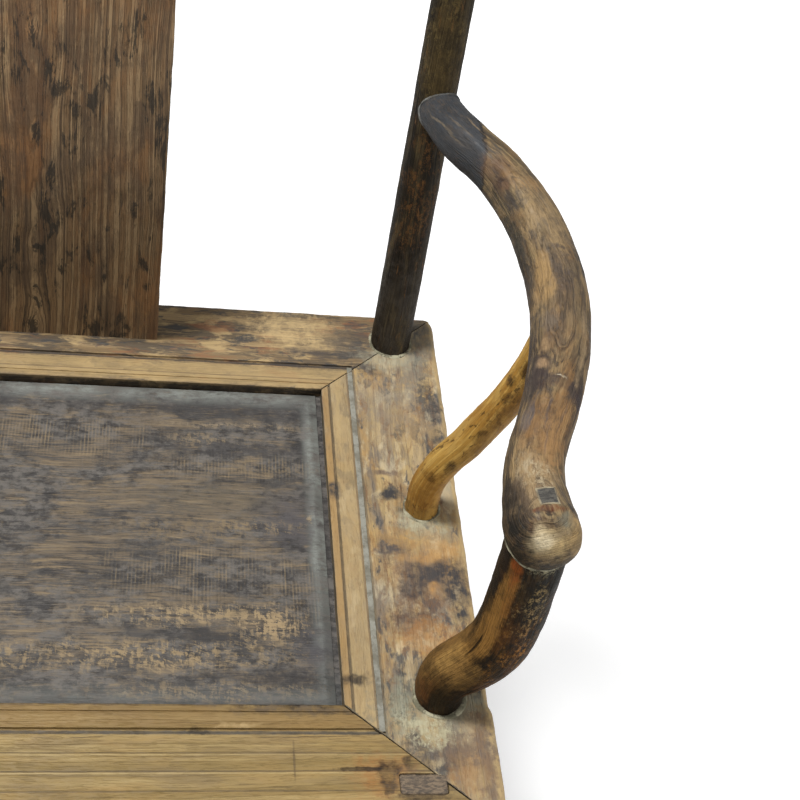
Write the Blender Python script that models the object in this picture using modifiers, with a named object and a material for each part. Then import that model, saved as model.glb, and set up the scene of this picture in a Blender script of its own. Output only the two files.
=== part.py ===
"""Yoke-back armchair in elm, with every joint a real mortise and tenon.

A mitred frame holds a floating seat panel. The back legs run up through the frame as the back posts and carry
the yoke crest rail, the bent arms reach forward from them to gooseneck posts on the side rails, and a curved
splat stands between the back rail and the crest.

Units are metres. The chair stands on z = 0. Places are measured from the seat's front edge (y = 0, +Y to the
back) and from the middle of the chair (x = 0, +X to the sitter's left), and one empty moves the whole chair so
that the origin is under the middle of its outline.
"""

import math

import bmesh
import bpy
from mathutils import Matrix, Vector

# Names
CHAIR_NAME = "yoke_back_armchair"
SIDES = (("left", 1), ("right", -1))

# Fits
FIT_GAP = 0.0003
OVERRUN = 0.010
MERGE_DISTANCE = 0.00002

# Seat frame
SEAT_WIDTH = 0.620
SEAT_DEPTH = 0.480
SEAT_HEIGHT = 0.500
SIDE_RAIL_WIDTH = 0.105
END_RAIL_WIDTH = 0.092
RAIL_THICKNESS = 0.034
SEAT_CORNER_RADIUS = 0.009
SEAT_EDGE_ROUND = 0.006
MITRE_CUT_SHARES = (-0.2, 1.3)
GROOVE_WIDTH = 0.003
GROOVE_DEPTH = 0.002
FRONT_GROOVE_INSET = 0.020
BACK_GROOVE_INSET = 0.026
SIDE_GROOVE_INSET = 0.025
RAIL_TENON_WIDTH = 0.022
RAIL_TENON_THICKNESS = 0.010
RAIL_TENON_COVER = 0.012
RAIL_TENON_SETBACK = 0.010
RAIL_TENON_END_WOOD = 0.012
CORNER_PEG_RADIUS = 0.0035
CORNER_PEG_LENGTH = 0.027

# Seat panel and its battens
PANEL_DROP = 0.006
PANEL_THICKNESS = 0.012
PANEL_SHRINKAGE = 0.001
PANEL_BEVEL_WIDTH = 0.007
PANEL_BEVEL_DEPTH = 0.002
TONGUE_REACH = 0.008
TONGUE_THICKNESS = 0.006
TONGUE_DROP = 0.0035
BATTEN_PLACE_SHARE = 0.5
BATTEN_WIDTH = 0.030
BATTEN_HEIGHT = 0.020
DOVETAIL_HEIGHT = 0.004
DOVETAIL_NECK = 0.020
DOVETAIL_FLARE = 0.003
BATTEN_TENON_REACH = 0.012
BATTEN_TENON_WIDTH = 0.020
BATTEN_TENON_THICKNESS = 0.009
BATTEN_TENON_DROP = 0.001

# Front legs
FRONT_LEG_INSET = 0.052
FRONT_LEG_SETBACK = 0.037
FRONT_LEG_TOP_RADIUS = 0.0205
FRONT_LEG_FOOT_RADIUS = 0.0195
FRONT_LEG_SPREAD = 0.016
FRONT_LEG_RAKE = 0.008
LEG_TENON_WIDTH = 0.033
LEG_TENON_DEPTH = 0.015
LEG_TENON_INSET = 0.055
LEG_TENON_SETBACK = 0.033

# Back legs, which run up as the back posts
BACK_POST_INSET = 0.042
BACK_POST_SETBACK = 0.033
BACK_POST_RADIUS = 0.0168
BACK_POST_TOP_RADIUS = 0.0150
BACK_POST_LEAN = math.radians(9.5)
BACK_LEG_TOP_RADIUS = 0.0190
BACK_LEG_FOOT_RADIUS = 0.0185
BACK_LEG_SPREAD = 0.014
BACK_LEG_RAKE = 0.016
BACK_RISE = 0.585

# Arms: their heights are above the seat, to the middle of the wood
ARM_REAR_RISE = 0.228
ARM_FRONT_RISE = 0.177
ARM_FRONT_SETBACK = 0.118
ARM_BULGE = 0.0725
ARM_RADIUS = 0.0215
ARM_NOSE = 0.024
ARM_LAP = 0.006
ARM_TENON_RADIUS = 0.0075
ARM_TENON_SHOULDER = 0.040
ARM_TENON_PAST_AXIS = 0.008
ARM_PEG_RADIUS = 0.0025
ARM_PEG_PAST_AXIS = 0.009
# Each row: share of the run from the back post forward, share of the bulge, share of the radius
ARM_SHARES = (
    (0.055, 0.030, 0.885),
    (0.127, 0.248, 0.890),
    (0.210, 0.590, 0.895),
    (0.300, 0.800, 0.930),
    (0.400, 0.945, 0.970),
    (0.510, 1.010, 0.995),
    (0.625, 0.955, 0.980),
    (0.714, 0.841, 0.930),
    (0.793, 0.697, 0.895),
    (0.859, 0.575, 0.890),
    (0.921, 0.515, 0.935),
    (0.965, 0.512, 1.025),
    (1.000, 0.524, 1.125),
)
# Each row: share of the nose past the front post, share of the bulge, share of the radius
ARM_NOSE_SHARES = (
    (0.50, 0.560, 1.080),
    (0.80, 0.575, 0.860),
    (1.00, 0.580, 0.420),
)

# Front arm posts
FRONT_POST_INSET = 0.037
FRONT_POST_SETBACK = 0.101
FRONT_POST_RADIUS = 0.0214
FRONT_POST_FOOT_TENON_RADIUS = 0.011
POST_TENON_COVER = 0.006
FRONT_POST_TENON_WIDTH = 0.012
# Each row: share of the rise to the arm, share of the sway outward, share of the radius
FRONT_POST_SHARES = (
    (-0.110, -0.020, 0.780),
    (0.000, -0.020, 0.790),
    (0.069, -0.020, 0.840),
    (0.120, 0.045, 0.880),
    (0.160, 0.175, 0.910),
    (0.217, 0.520, 0.970),
    (0.275, 0.790, 1.000),
    (0.339, 0.950, 1.010),
    (0.400, 1.005, 1.005),
    (0.470, 1.030, 1.000),
    (0.657, 1.050, 0.995),
    (0.853, 1.040, 0.980),
    (1.000, 1.000, 0.970),
)

# Side arm posts
SIDE_POST_INSET = 0.033
SIDE_POST_SETBACK = 0.267
SIDE_POST_RAKE = 0.008
SIDE_POST_TOP_INSET = 0.004
SIDE_POST_RADIUS = 0.0129
SIDE_POST_FOOT_TENON_RADIUS = 0.0085
SIDE_POST_ARM_TENON_RADIUS = 0.0060
SIDE_POST_TENON_SHOULDER = 0.030
SIDE_POST_SHARES = (
    (-0.100, 0.000, 1.000),
    (0.000, 0.000, 1.000),
    (0.150, 0.005, 0.980),
    (0.270, 0.140, 0.990),
    (0.390, 0.375, 1.010),
    (0.500, 0.546, 1.000),
    (0.610, 0.705, 0.985),
    (0.760, 0.870, 0.945),
    (1.000, 1.000, 0.915),
)

# Crest rail
CREST_OVERHANG = 0.055
CREST_END_RADIUS = 0.0175
CREST_BOW = 0.016
CREST_TIP_LIFT = 0.010
CREST_TIP_ROUND = 0.012
CREST_TIP_TURN_SHARES = (0.32, 0.60, 0.83)
HEADREST_RISE = 0.016
HEADREST_HEIGHT = 0.056
HEADREST_THICKNESS = 0.030
HEADREST_SHARES = (0.26, 0.60)
CREST_STATIONS = 13
CREST_SIDES = 14
CREST_TENON_RADIUS = 0.0085
CREST_TENON_REACH = 0.008
CREST_PEG_RADIUS = 0.0030
CREST_PEG_DEPTH = 0.024

# Splat
SPLAT_WIDTH = 0.138
SPLAT_THICKNESS = 0.011
SPLAT_SWAY = 0.014
SPLAT_FOOT_SETBACK = 0.040
SPLAT_STEPS = 14
SPLAT_TENON_WIDTH = 0.110
SPLAT_TENON_THICKNESS = 0.006
SPLAT_FOOT_TENON_REACH = 0.018
SPLAT_TOP_TENON_PAST_AXIS = 0.012
SPLAT_TENON_ROOT = 0.006

# Boards under the seat frame
APRON_HEIGHT = 0.045
APRON_THICKNESS = 0.012
APRON_HOUSING = 0.009
FRONT_APRON_SIDE_WIDTH = 0.030

# Footrest and stretchers: heights above the floor
FOOTREST_HEIGHT = 0.112
FOOTREST_THICKNESS = 0.022
FOOTREST_NOSE = 0.008
FOOTREST_HEEL = 0.016
FOOTREST_EDGE_ROUND = 0.004
FOOTREST_TENON_WIDTH = 0.014
FOOTREST_TENON_THICKNESS = 0.010
FOOTREST_APRON_HEIGHT = 0.036
SIDE_STRETCHER_HEIGHT = 0.150
BACK_STRETCHER_HEIGHT = 0.195
STRETCHER_RADIUS = 0.0125
STRETCHER_TENON_RADIUS = 0.0065
STRETCHER_TENON_REACH = 0.013

# Faceting
POST_STEPS = 16
ROUND_RESOLUTION = 5
THIN_ROUND_RESOLUTION = 4
PEG_RESOLUTION = 2
BEND_STEPS = 2
EDGE_SEGMENTS = 3
CORNER_STEPS = 4
SHARP_ANGLE = math.radians(40)
BEVEL_ANGLE = math.radians(60)

# Places that several pieces share
FRAME_UNDERSIDE = SEAT_HEIGHT - RAIL_THICKNESS
OPENING_HALF_WIDTH = SEAT_WIDTH / 2 - SIDE_RAIL_WIDTH
OPENING_FRONT = END_RAIL_WIDTH
OPENING_BACK = SEAT_DEPTH - END_RAIL_WIDTH
PANEL_TOP = SEAT_HEIGHT - PANEL_DROP
PANEL_UNDERSIDE = PANEL_TOP - PANEL_THICKNESS
BACK_POST_X = SEAT_WIDTH / 2 - BACK_POST_INSET
BACK_POST_Y = SEAT_DEPTH - BACK_POST_SETBACK
FRONT_LEG_X = SEAT_WIDTH / 2 - FRONT_LEG_INSET
CREST_HEIGHT = SEAT_HEIGHT + BACK_RISE
ARM_REAR_HEIGHT = SEAT_HEIGHT + ARM_REAR_RISE
ARM_FRONT_HEIGHT = SEAT_HEIGHT + ARM_FRONT_RISE
CREST_HALF_LENGTH = BACK_POST_X + CREST_OVERHANG

# How the drawing planes of a flat outline stand in the chair
UPRIGHT_ACROSS = Matrix(((1, 0, 0), (0, 0, -1), (0, 1, 0))).to_4x4()
UPRIGHT_ALONG = Matrix(((0, 0, 1), (1, 0, 0), (0, 1, 0))).to_4x4()
FLAT = Matrix.Identity(4)


# Blender helpers
def clear_scene():
    for obj in list(bpy.data.objects):
        bpy.data.objects.remove(obj, do_unlink=True)


def make_collection(name):
    collection = bpy.data.collections.new(name)
    bpy.context.scene.collection.children.link(collection)
    return collection


def make_material(name, colour, roughness):
    material = bpy.data.materials.new(name)
    material.use_nodes = True
    shader = material.node_tree.nodes["Principled BSDF"]
    shader.inputs["Base Color"].default_value = (*colour, 1)
    shader.inputs["Roughness"].default_value = roughness
    shader.inputs["Metallic"].default_value = 0
    return material


clear_scene()
PARTS = make_collection(CHAIR_NAME)
CUTTERS = make_collection("joinery_cutters")
ORIGIN = bpy.data.objects.new("chair_origin", None)
PARTS.objects.link(ORIGIN)

# Finishes, as they look where the wood is worn
HONEY_ELM = make_material("honey_elm", (0.36, 0.22, 0.10), 0.45)
WORN_ELM = make_material("worn_elm", (0.22, 0.14, 0.07), 0.50)
DARK_ELM = make_material("dark_elm", (0.07, 0.045, 0.03), 0.45)
OCHRE_ELM = make_material("ochre_elm", (0.38, 0.22, 0.08), 0.50)
SLATE_LACQUER = make_material("slate_lacquer", (0.045, 0.04, 0.038), 0.40)
PEG_WOOD = make_material("peg_wood", (0.16, 0.10, 0.05), 0.60)


def add_object(home, name, mesh):
    obj = bpy.data.objects.new(name, mesh)
    home.objects.link(obj)
    obj.parent = ORIGIN
    if home is CUTTERS:
        obj.hide_render = True
        obj.display_type = "WIRE"
    return obj


def dress(part, material):
    part.data.materials.append(material)
    part.data.shade_smooth()
    part.data.set_sharp_from_angle(angle=SHARP_ANGLE)
    return part


def settled(maker, home, name):
    """The maker's evaluated mesh as a plain mesh object with its loose ends welded; the maker is removed."""
    bpy.context.scene.collection.objects.link(maker)
    depsgraph = bpy.context.evaluated_depsgraph_get()
    mesh = bpy.data.meshes.new_from_object(maker.evaluated_get(depsgraph))
    welded = bmesh.new()
    welded.from_mesh(mesh)
    bmesh.ops.remove_doubles(welded, verts=welded.verts, dist=MERGE_DISTANCE)
    bmesh.ops.recalc_face_normals(welded, faces=welded.faces)
    welded.to_mesh(mesh)
    welded.free()
    place = maker.matrix_world.copy()
    bpy.data.objects.remove(maker, do_unlink=True)
    solid = add_object(home, name, mesh)
    solid.matrix_world = place
    return solid


def box(home, name, low, high):
    """A block between two corners."""
    low = Vector(low)
    high = Vector(high)
    shape = bmesh.new()
    bmesh.ops.create_cube(shape, size=1)
    size = Matrix.Diagonal((high - low).to_4d())
    size[3][3] = 1
    bmesh.ops.transform(shape, matrix=Matrix.Translation((low + high) / 2) @ size, verts=shape.verts)
    mesh = bpy.data.meshes.new(name)
    shape.to_mesh(mesh)
    shape.free()
    return add_object(home, name, mesh)


def prism(home, name, outlines, low, high, stance=FLAT):
    """A flat drawing of closed outlines, holes included, made as thick as low to high and stood up."""
    drawing = bpy.data.curves.new(name, "CURVE")
    drawing.dimensions = "2D"
    drawing.fill_mode = "BOTH"
    drawing.extrude = (high - low) / 2
    for outline in outlines:
        spline = drawing.splines.new("POLY")
        spline.points.add(len(outline) - 1)
        spline.use_cyclic_u = True
        for knot, (across, along) in zip(spline.points, outline):
            knot.co = (across, along, 0, 1)
    solid = settled(bpy.data.objects.new(name, drawing), home, name)
    middle = stance @ Vector((0, 0, (low + high) / 2))
    if stance is UPRIGHT_ACROSS:
        middle = -middle
    solid.data.transform(Matrix.Translation(middle) @ stance)
    return solid


def tube(home, name, points, radii, resolution=ROUND_RESOLUTION, steps=BEND_STEPS):
    """A round member along a smooth curve through its points, with a radius at each."""
    path = bpy.data.curves.new(name, "CURVE")
    path.dimensions = "3D"
    path.bevel_depth = max(radii)
    path.bevel_resolution = resolution
    path.resolution_u = steps
    path.use_fill_caps = True
    spline = path.splines.new("BEZIER")
    spline.bezier_points.add(len(points) - 1)
    for knot, point, radius in zip(spline.bezier_points, points, radii):
        knot.co = point
        knot.radius = radius / path.bevel_depth
        knot.handle_left_type = "AUTO"
        knot.handle_right_type = "AUTO"
    return settled(bpy.data.objects.new(name, path), home, name)


def rod(home, name, start, end, radius, resolution=THIN_ROUND_RESOLUTION):
    """A straight round stick."""
    return tube(home, name, (start, end), (radius, radius), resolution, 1)


def turned(home, name, profile, axis, steps=POST_STEPS):
    """A profile of (height, radius) rows from the top down, turned, then leant along its axis."""
    mesh = bpy.data.meshes.new(name)
    edges = [(i, i + 1) for i in range(len(profile) - 1)]
    mesh.from_pydata([(radius, 0, height) for height, radius in profile], edges, [])
    maker = bpy.data.objects.new(name, mesh)
    turn = maker.modifiers.new("turn", "SCREW")
    turn.steps = steps
    turn.render_steps = steps
    turn.use_merge_vertices = True
    turn.merge_threshold = MERGE_DISTANCE
    solid = settled(maker, home, name)
    for vertex in solid.data.vertices:
        vertex.co += axis(vertex.co.z) - Vector((0, 0, vertex.co.z))
    return solid


def loft(home, name, rings):
    """A skin over rings of equally many points, closed by flat ends."""
    shape = bmesh.new()
    loops = [[shape.verts.new(point) for point in ring] for ring in rings]
    for one, two in zip(loops, loops[1:]):
        for i, corner in enumerate(one):
            j = (i + 1) % len(one)
            shape.faces.new((corner, one[j], two[j], two[i]))
    shape.faces.new(loops[0])
    shape.faces.new(loops[-1])
    bmesh.ops.recalc_face_normals(shape, faces=shape.faces)
    mesh = bpy.data.meshes.new(name)
    shape.to_mesh(mesh)
    shape.free()
    return add_object(home, name, mesh)


def combine(part, tool, operation):
    step = part.modifiers.new(tool.name, "BOOLEAN")
    step.operation = operation
    step.object = tool


def cut(part, *tools):
    for tool in tools:
        combine(part, tool, "DIFFERENCE")


def join(part, *tools):
    for tool in tools:
        combine(part, tool, "UNION")


def round_edges(part, width):
    """Round the square edges of a plank or frame."""
    rounding = part.modifiers.new("rounded edges", "BEVEL")
    rounding.width = width
    rounding.segments = EDGE_SEGMENTS
    rounding.limit_method = "ANGLE"
    rounding.angle_limit = BEVEL_ANGLE


# Lines that pieces follow
def span(sign, near, far):
    """The lower and the higher x of a range that lies near to far from the middle, on the given side."""
    return min(sign * near, sign * far), max(sign * near, sign * far)


def smooth(share):
    share = min(max(share, 0), 1)
    return share * share * (3 - 2 * share)


def front_leg_axis(sign):
    """The middle of a front leg at a height: it spreads outward and forward from the frame to the floor."""

    def axis(height):
        down = 1 - min(height / FRAME_UNDERSIDE, 1)
        x = FRONT_LEG_X + FRONT_LEG_SPREAD * down
        return Vector((sign * x, FRONT_LEG_SETBACK - FRONT_LEG_RAKE * down, height))

    return axis


def back_post_axis(sign):
    """The middle of a back leg and post at a height: upright through the frame, leaning back above it."""

    def axis(height):
        down = 1 - min(height / FRAME_UNDERSIDE, 1)
        up = max(height - SEAT_HEIGHT, 0)
        x = BACK_POST_X + BACK_LEG_SPREAD * down
        y = BACK_POST_Y + BACK_LEG_RAKE * down + math.tan(BACK_POST_LEAN) * up
        return Vector((sign * x, y, height))

    return axis


def arm_reach():
    return back_post_axis(1)(ARM_REAR_HEIGHT).y - ARM_FRONT_SETBACK


def arm_point(sign, run_share, bulge_share):
    """A point of the arm's middle line, which sinks in a gentle S from the back post to the front post."""
    rear = back_post_axis(sign)(ARM_REAR_HEIGHT)
    x = rear.x + sign * ARM_BULGE * bulge_share
    y = rear.y - arm_reach() * run_share
    z = ARM_REAR_HEIGHT - (ARM_REAR_HEIGHT - ARM_FRONT_HEIGHT) * smooth(run_share)
    return Vector((x, y, z))


def arm_axis(sign, y):
    """The arm's middle at a distance y from the seat's front edge."""
    run = (back_post_axis(sign)(ARM_REAR_HEIGHT).y - y) / arm_reach()
    for (start, first, _), (end, second, _) in zip(ARM_SHARES, ARM_SHARES[1:]):
        if run <= end:
            break
    return arm_point(sign, run, first + (second - first) * (run - start) / (end - start))


def arm_line(sign):
    """Points and radii of the whole arm, from its rear shoulder to its nose."""
    rows = [(ARM_LAP / arm_reach(), 0, ARM_SHARES[0][2]), *ARM_SHARES]
    rows += [(1 + share * ARM_NOSE / arm_reach(), bulge, girth) for share, bulge, girth in ARM_NOSE_SHARES]
    points = [arm_point(sign, run, bulge) for run, bulge, _ in rows]
    return points, [ARM_RADIUS * girth for _, _, girth in rows]


def post_line(foot, top, rows, radius):
    """Points and radii of a bent post from under its foot to the middle of the arm."""
    points = []
    for rise, sway, _ in rows:
        points.append(Vector((
            foot.x + (top.x - foot.x) * sway,
            foot.y + (top.y - foot.y) * rise,
            foot.z + (top.z - foot.z) * rise,
        )))
    return points, [radius * girth for _, _, girth in rows]


def front_post_ends(sign):
    foot = Vector((sign * (SEAT_WIDTH / 2 - FRONT_POST_INSET), FRONT_POST_SETBACK, SEAT_HEIGHT))
    return foot, arm_axis(sign, ARM_FRONT_SETBACK)


def side_post_ends(sign):
    foot = Vector((sign * (SEAT_WIDTH / 2 - SIDE_POST_INSET), SIDE_POST_SETBACK, SEAT_HEIGHT))
    top = arm_axis(sign, SIDE_POST_SETBACK + SIDE_POST_RAKE)
    top.x -= sign * SIDE_POST_TOP_INSET
    return foot, top


def crest_point(x):
    """The crest rail's middle line: bowed back in the middle, raised there, with lifted tips."""
    post = back_post_axis(1)(CREST_HEIGHT)
    beyond = max(abs(x) - post.x, 0) / CREST_OVERHANG
    y = post.y + CREST_BOW * (1 - (x / post.x) ** 2)
    z = post.z + HEADREST_RISE * headrest_share(x) + CREST_TIP_LIFT * beyond * beyond
    return Vector((x, y, z))


def headrest_share(x):
    """1 along the headrest, 0 along the round ends, and a smooth shoulder between."""
    start, end = HEADREST_SHARES
    return 1 - smooth((abs(x) / CREST_HALF_LENGTH - start) / (end - start))


def crest_half_sizes(x):
    """Half the crest's depth and half its height."""
    head = headrest_share(x)
    depth = CREST_END_RADIUS + (HEADREST_THICKNESS / 2 - CREST_END_RADIUS) * head
    height = CREST_END_RADIUS + (HEADREST_HEIGHT / 2 - CREST_END_RADIUS) * head
    return depth, height


def origin_y():
    """The middle of the chair's outline from front to back."""
    middle = crest_point(0)
    return (middle.y + HEADREST_THICKNESS / 2) / 2


# Shapes that serve both as pieces and, a little larger, as the cutters of what meets them
def front_leg_body(home, name, sign, extra=0):
    top = FRAME_UNDERSIDE - FIT_GAP
    profile = (
        (top, 0),
        (top, FRONT_LEG_TOP_RADIUS + extra),
        (0, FRONT_LEG_FOOT_RADIUS + extra),
        (0, 0),
    )
    return turned(home, name, profile, front_leg_axis(sign))


def back_post_body(home, name, sign, extra=0):
    shoulder = FRAME_UNDERSIDE - FIT_GAP
    profile = (
        (CREST_HEIGHT, 0),
        (CREST_HEIGHT, BACK_POST_TOP_RADIUS + extra),
        (SEAT_HEIGHT, BACK_POST_RADIUS + extra),
        (shoulder, BACK_POST_RADIUS + extra),
        (shoulder, BACK_LEG_TOP_RADIUS + extra),
        (0, BACK_LEG_FOOT_RADIUS + extra),
        (0, 0),
    )
    return turned(home, name, profile, back_post_axis(sign))


def arm_body(home, name, sign, extra=0):
    points, radii = arm_line(sign)
    return tube(home, name, points, [radius + extra for radius in radii])


def crest_body(home, name, extra=0):
    tip = CREST_TIP_ROUND / CREST_HALF_LENGTH
    stations = [i / CREST_STATIONS * (1 - tip) for i in range(CREST_STATIONS + 1)]
    turns = [math.pi / 2 * share for share in CREST_TIP_TURN_SHARES]
    ends = [(1 - tip + tip * math.sin(turn), math.cos(turn)) for turn in turns]
    half = [(share, 1) for share in stations] + ends
    whole = [(-share, size) for share, size in reversed(half[1:])] + half
    rings = []
    for share, size in whole:
        middle = crest_point(share * CREST_HALF_LENGTH)
        depth, height = crest_half_sizes(share * CREST_HALF_LENGTH)
        ring = []
        for side in range(CREST_SIDES):
            angle = 2 * math.pi * side / CREST_SIDES
            across = (depth * size + extra) * math.cos(angle)
            ring.append(middle + Vector((0, across, (height * size + extra) * math.sin(angle))))
        rings.append(ring)
    return loft(home, name, rings)


def rail_tenon_range(end, extra=0):
    """The y range of the tenon of the front (end -1) or back (end 1) rail."""
    near = RAIL_TENON_SETBACK - extra
    far = RAIL_TENON_SETBACK + RAIL_TENON_WIDTH + extra
    if end < 0:
        return OPENING_FRONT - far, OPENING_FRONT - near
    return OPENING_BACK + near, OPENING_BACK + far


def rail_tenon(name, sign, end, extra=0):
    """The tenon of an end rail, which enters the side rail past the mitre."""
    x_low, x_high = span(sign, OPENING_HALF_WIDTH - OVERRUN, SEAT_WIDTH / 2 - RAIL_TENON_END_WOOD + extra)
    y_low, y_high = rail_tenon_range(end, extra)
    top = SEAT_HEIGHT - RAIL_TENON_COVER
    return box(
        CUTTERS, name,
        (x_low, y_low, top - RAIL_TENON_THICKNESS - extra),
        (x_high, y_high, top + extra),
    )


def batten_tenon_heights():
    top = PANEL_UNDERSIDE - FIT_GAP - BATTEN_TENON_DROP
    return top - BATTEN_TENON_THICKNESS, top


def batten_tenon(name, sign, extra=0):
    """The bar whose two ends enter the front and back rails."""
    low, high = batten_tenon_heights()
    middle = sign * OPENING_HALF_WIDTH * BATTEN_PLACE_SHARE
    half = BATTEN_TENON_WIDTH / 2 + extra
    return box(
        CUTTERS, name,
        (middle - half, OPENING_FRONT - BATTEN_TENON_REACH - extra, low - extra),
        (middle + half, OPENING_BACK + BATTEN_TENON_REACH + extra, high + extra),
    )


def leg_tenon(name, sign, extra=0):
    """The front leg's tenon, which comes up flush with the seat's top."""
    x = sign * (SEAT_WIDTH / 2 - LEG_TENON_INSET)
    half_width = LEG_TENON_WIDTH / 2 + extra
    half_depth = LEG_TENON_DEPTH / 2 + extra
    past = OVERRUN if extra else 0
    return box(
        CUTTERS, name,
        (x - half_width, LEG_TENON_SETBACK - half_depth, FRAME_UNDERSIDE - OVERRUN),
        (x + half_width, LEG_TENON_SETBACK + half_depth, SEAT_HEIGHT + past),
    )


def foot_tenon(name, foot, radius, extra=0):
    """The round tenon under an arm post, which enters the side rail from above."""
    bottom = Vector((foot.x, foot.y, FRAME_UNDERSIDE + POST_TENON_COVER - extra))
    top = Vector((foot.x, foot.y, SEAT_HEIGHT + OVERRUN / 2))
    return rod(CUTTERS, name, bottom, top, radius + extra)


def front_post_tenon(name, sign, extra=0):
    """The square tenon of a front arm post, which comes up through the arm."""
    top = front_post_ends(sign)[1]
    half = FRONT_POST_TENON_WIDTH / 2 + extra
    reach = ARM_RADIUS * ARM_SHARES[-1][2]
    past = OVERRUN if extra else 0
    return box(
        CUTTERS, name,
        (top.x - half, top.y - half, top.z - reach - OVERRUN),
        (top.x + half, top.y + half, top.z + reach + past),
    )


def side_post_tenon(name, sign, extra=0):
    """The round tenon at the top of a side arm post, up to the middle of the arm."""
    foot, top = side_post_ends(sign)
    points, _ = post_line(foot, top, SIDE_POST_SHARES, SIDE_POST_RADIUS)
    back = (points[-2] - points[-1]).normalized()
    start = top + back * SIDE_POST_TENON_SHOULDER
    return rod(CUTTERS, name, start, top - back * extra, SIDE_POST_ARM_TENON_RADIUS + extra)


def arm_rear_tenon(name, sign, extra=0):
    """The round tenon at the arm's rear end, into the back post."""
    rear = back_post_axis(sign)(ARM_REAR_HEIGHT)
    inside = arm_axis(sign, rear.y - ARM_TENON_SHOULDER)
    onward = (rear - inside).normalized()
    end = rear + onward * (ARM_TENON_PAST_AXIS + extra)
    return rod(CUTTERS, name, inside, end, ARM_TENON_RADIUS + extra)


def crest_tenon(name, sign, extra=0):
    """The round tenon at the top of a back post, into the crest rail."""
    axis = back_post_axis(sign)
    start = axis(CREST_HEIGHT - CREST_END_RADIUS - OVERRUN)
    end = axis(CREST_HEIGHT + CREST_TENON_REACH + extra)
    return rod(CUTTERS, name, start, end, CREST_TENON_RADIUS + extra)


def splat_line():
    """The splat's middle line from the seat to the middle of the crest, bent forward low and back high."""
    foot = Vector((0, SEAT_DEPTH - SPLAT_FOOT_SETBACK, SEAT_HEIGHT + FIT_GAP))
    top = crest_point(0)
    points = []
    for step in range(SPLAT_STEPS + 1):
        share = step / SPLAT_STEPS
        sway = SPLAT_SWAY * math.sin(2 * math.pi * share)
        points.append(foot.lerp(top, share) - Vector((0, sway, 0)))
    return points


def splat_tenon(name, top_end, extra=0):
    """The flat tenon at the splat's top or foot."""
    points = splat_line()
    middle = points[-1] if top_end else points[0]
    half_width = SPLAT_TENON_WIDTH / 2 + extra
    half = SPLAT_TENON_THICKNESS / 2 + extra
    if top_end:
        low = middle.z - HEADREST_HEIGHT / 2 - SPLAT_TENON_ROOT
        high = middle.z + SPLAT_TOP_TENON_PAST_AXIS + extra
    else:
        low = SEAT_HEIGHT - SPLAT_FOOT_TENON_REACH - extra
        high = SEAT_HEIGHT + SPLAT_TENON_ROOT
    return box(
        CUTTERS, name,
        (-half_width, middle.y - half, low),
        (half_width, middle.y + half, high),
    )


def stretcher_ends(sign):
    """Where a side stretcher's middle line meets the middles of the front and back legs."""
    return front_leg_axis(sign)(SIDE_STRETCHER_HEIGHT), back_post_axis(sign)(SIDE_STRETCHER_HEIGHT)


def stretcher_tenons(name, start, end, extra=0):
    """The thin rod whose two ends are the tenons of a stretcher."""
    onward = (end - start).normalized() * (STRETCHER_TENON_REACH + extra)
    middle = (start + end) / 2
    half = (end - start) / 2
    inset = half.normalized() * FRONT_LEG_TOP_RADIUS
    return rod(
        CUTTERS, name,
        middle - half + inset - onward,
        middle + half - inset + onward,
        STRETCHER_TENON_RADIUS + extra,
    )


def footrest_heights():
    return FOOTREST_HEIGHT - FOOTREST_THICKNESS, FOOTREST_HEIGHT


def footrest_tenons(name, extra=0):
    """The bar whose two ends enter the front legs."""
    leg = front_leg_axis(1)(FOOTREST_HEIGHT - FOOTREST_THICKNESS / 2)
    reach = leg.x + extra
    half = FOOTREST_TENON_WIDTH / 2 + extra
    half_thickness = FOOTREST_TENON_THICKNESS / 2 + extra
    return box(
        CUTTERS, name,
        (-reach, leg.y - half, leg.z - half_thickness),
        (reach, leg.y + half, leg.z + half_thickness),
    )


def corner_peg_rod(home, name, sign, end, extra=0):
    """A peg from the frame's underside up through the tenon."""
    low, high = rail_tenon_range(end)
    x = sign * (SEAT_WIDTH / 2 - SIDE_POST_INSET)
    start = Vector((x, (low + high) / 2, FRAME_UNDERSIDE - (OVERRUN if extra else 0)))
    stop = Vector((x, (low + high) / 2, FRAME_UNDERSIDE + CORNER_PEG_LENGTH + extra))
    return rod(home, name, start, stop, CORNER_PEG_RADIUS + extra, PEG_RESOLUTION)


def arm_peg_rod(home, name, sign, extra=0):
    """A peg from the post's outer side through the arm's tenon."""
    axis = back_post_axis(sign)(ARM_REAR_HEIGHT)
    past = OVERRUN if extra else 0
    start = axis + Vector((sign * (BACK_POST_RADIUS + past), 0, 0))
    end = axis - Vector((sign * (ARM_PEG_PAST_AXIS + extra), 0, 0))
    return rod(home, name, start, end, ARM_PEG_RADIUS + extra, PEG_RESOLUTION)


def crest_peg_rod(home, name, sign, extra=0):
    """A peg from the back of the crest rail through a post's tenon."""
    middle = crest_point(sign * BACK_POST_X)
    depth = crest_half_sizes(BACK_POST_X)[0]
    past = OVERRUN if extra else 0
    start = middle + Vector((0, depth + past, 0))
    end = middle + Vector((0, depth - CREST_PEG_DEPTH - extra, 0))
    return rod(home, name, start, end, CREST_PEG_RADIUS + extra, PEG_RESOLUTION)


# Boards that are housed in the legs
def board_across(home, name, y, half_length, low, high, extra=0):
    half = APRON_THICKNESS / 2 + extra
    return box(
        home, name,
        (-half_length - extra, y - half, low - extra),
        (half_length + extra, y + half, high + extra),
    )


def front_apron_board(home, name, extra=0):
    half_length = FRONT_LEG_X - FRONT_LEG_TOP_RADIUS + APRON_HOUSING
    top = FRAME_UNDERSIDE - FIT_GAP
    return board_across(home, name, FRONT_LEG_SETBACK, half_length, top - APRON_HEIGHT, top, extra)


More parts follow.
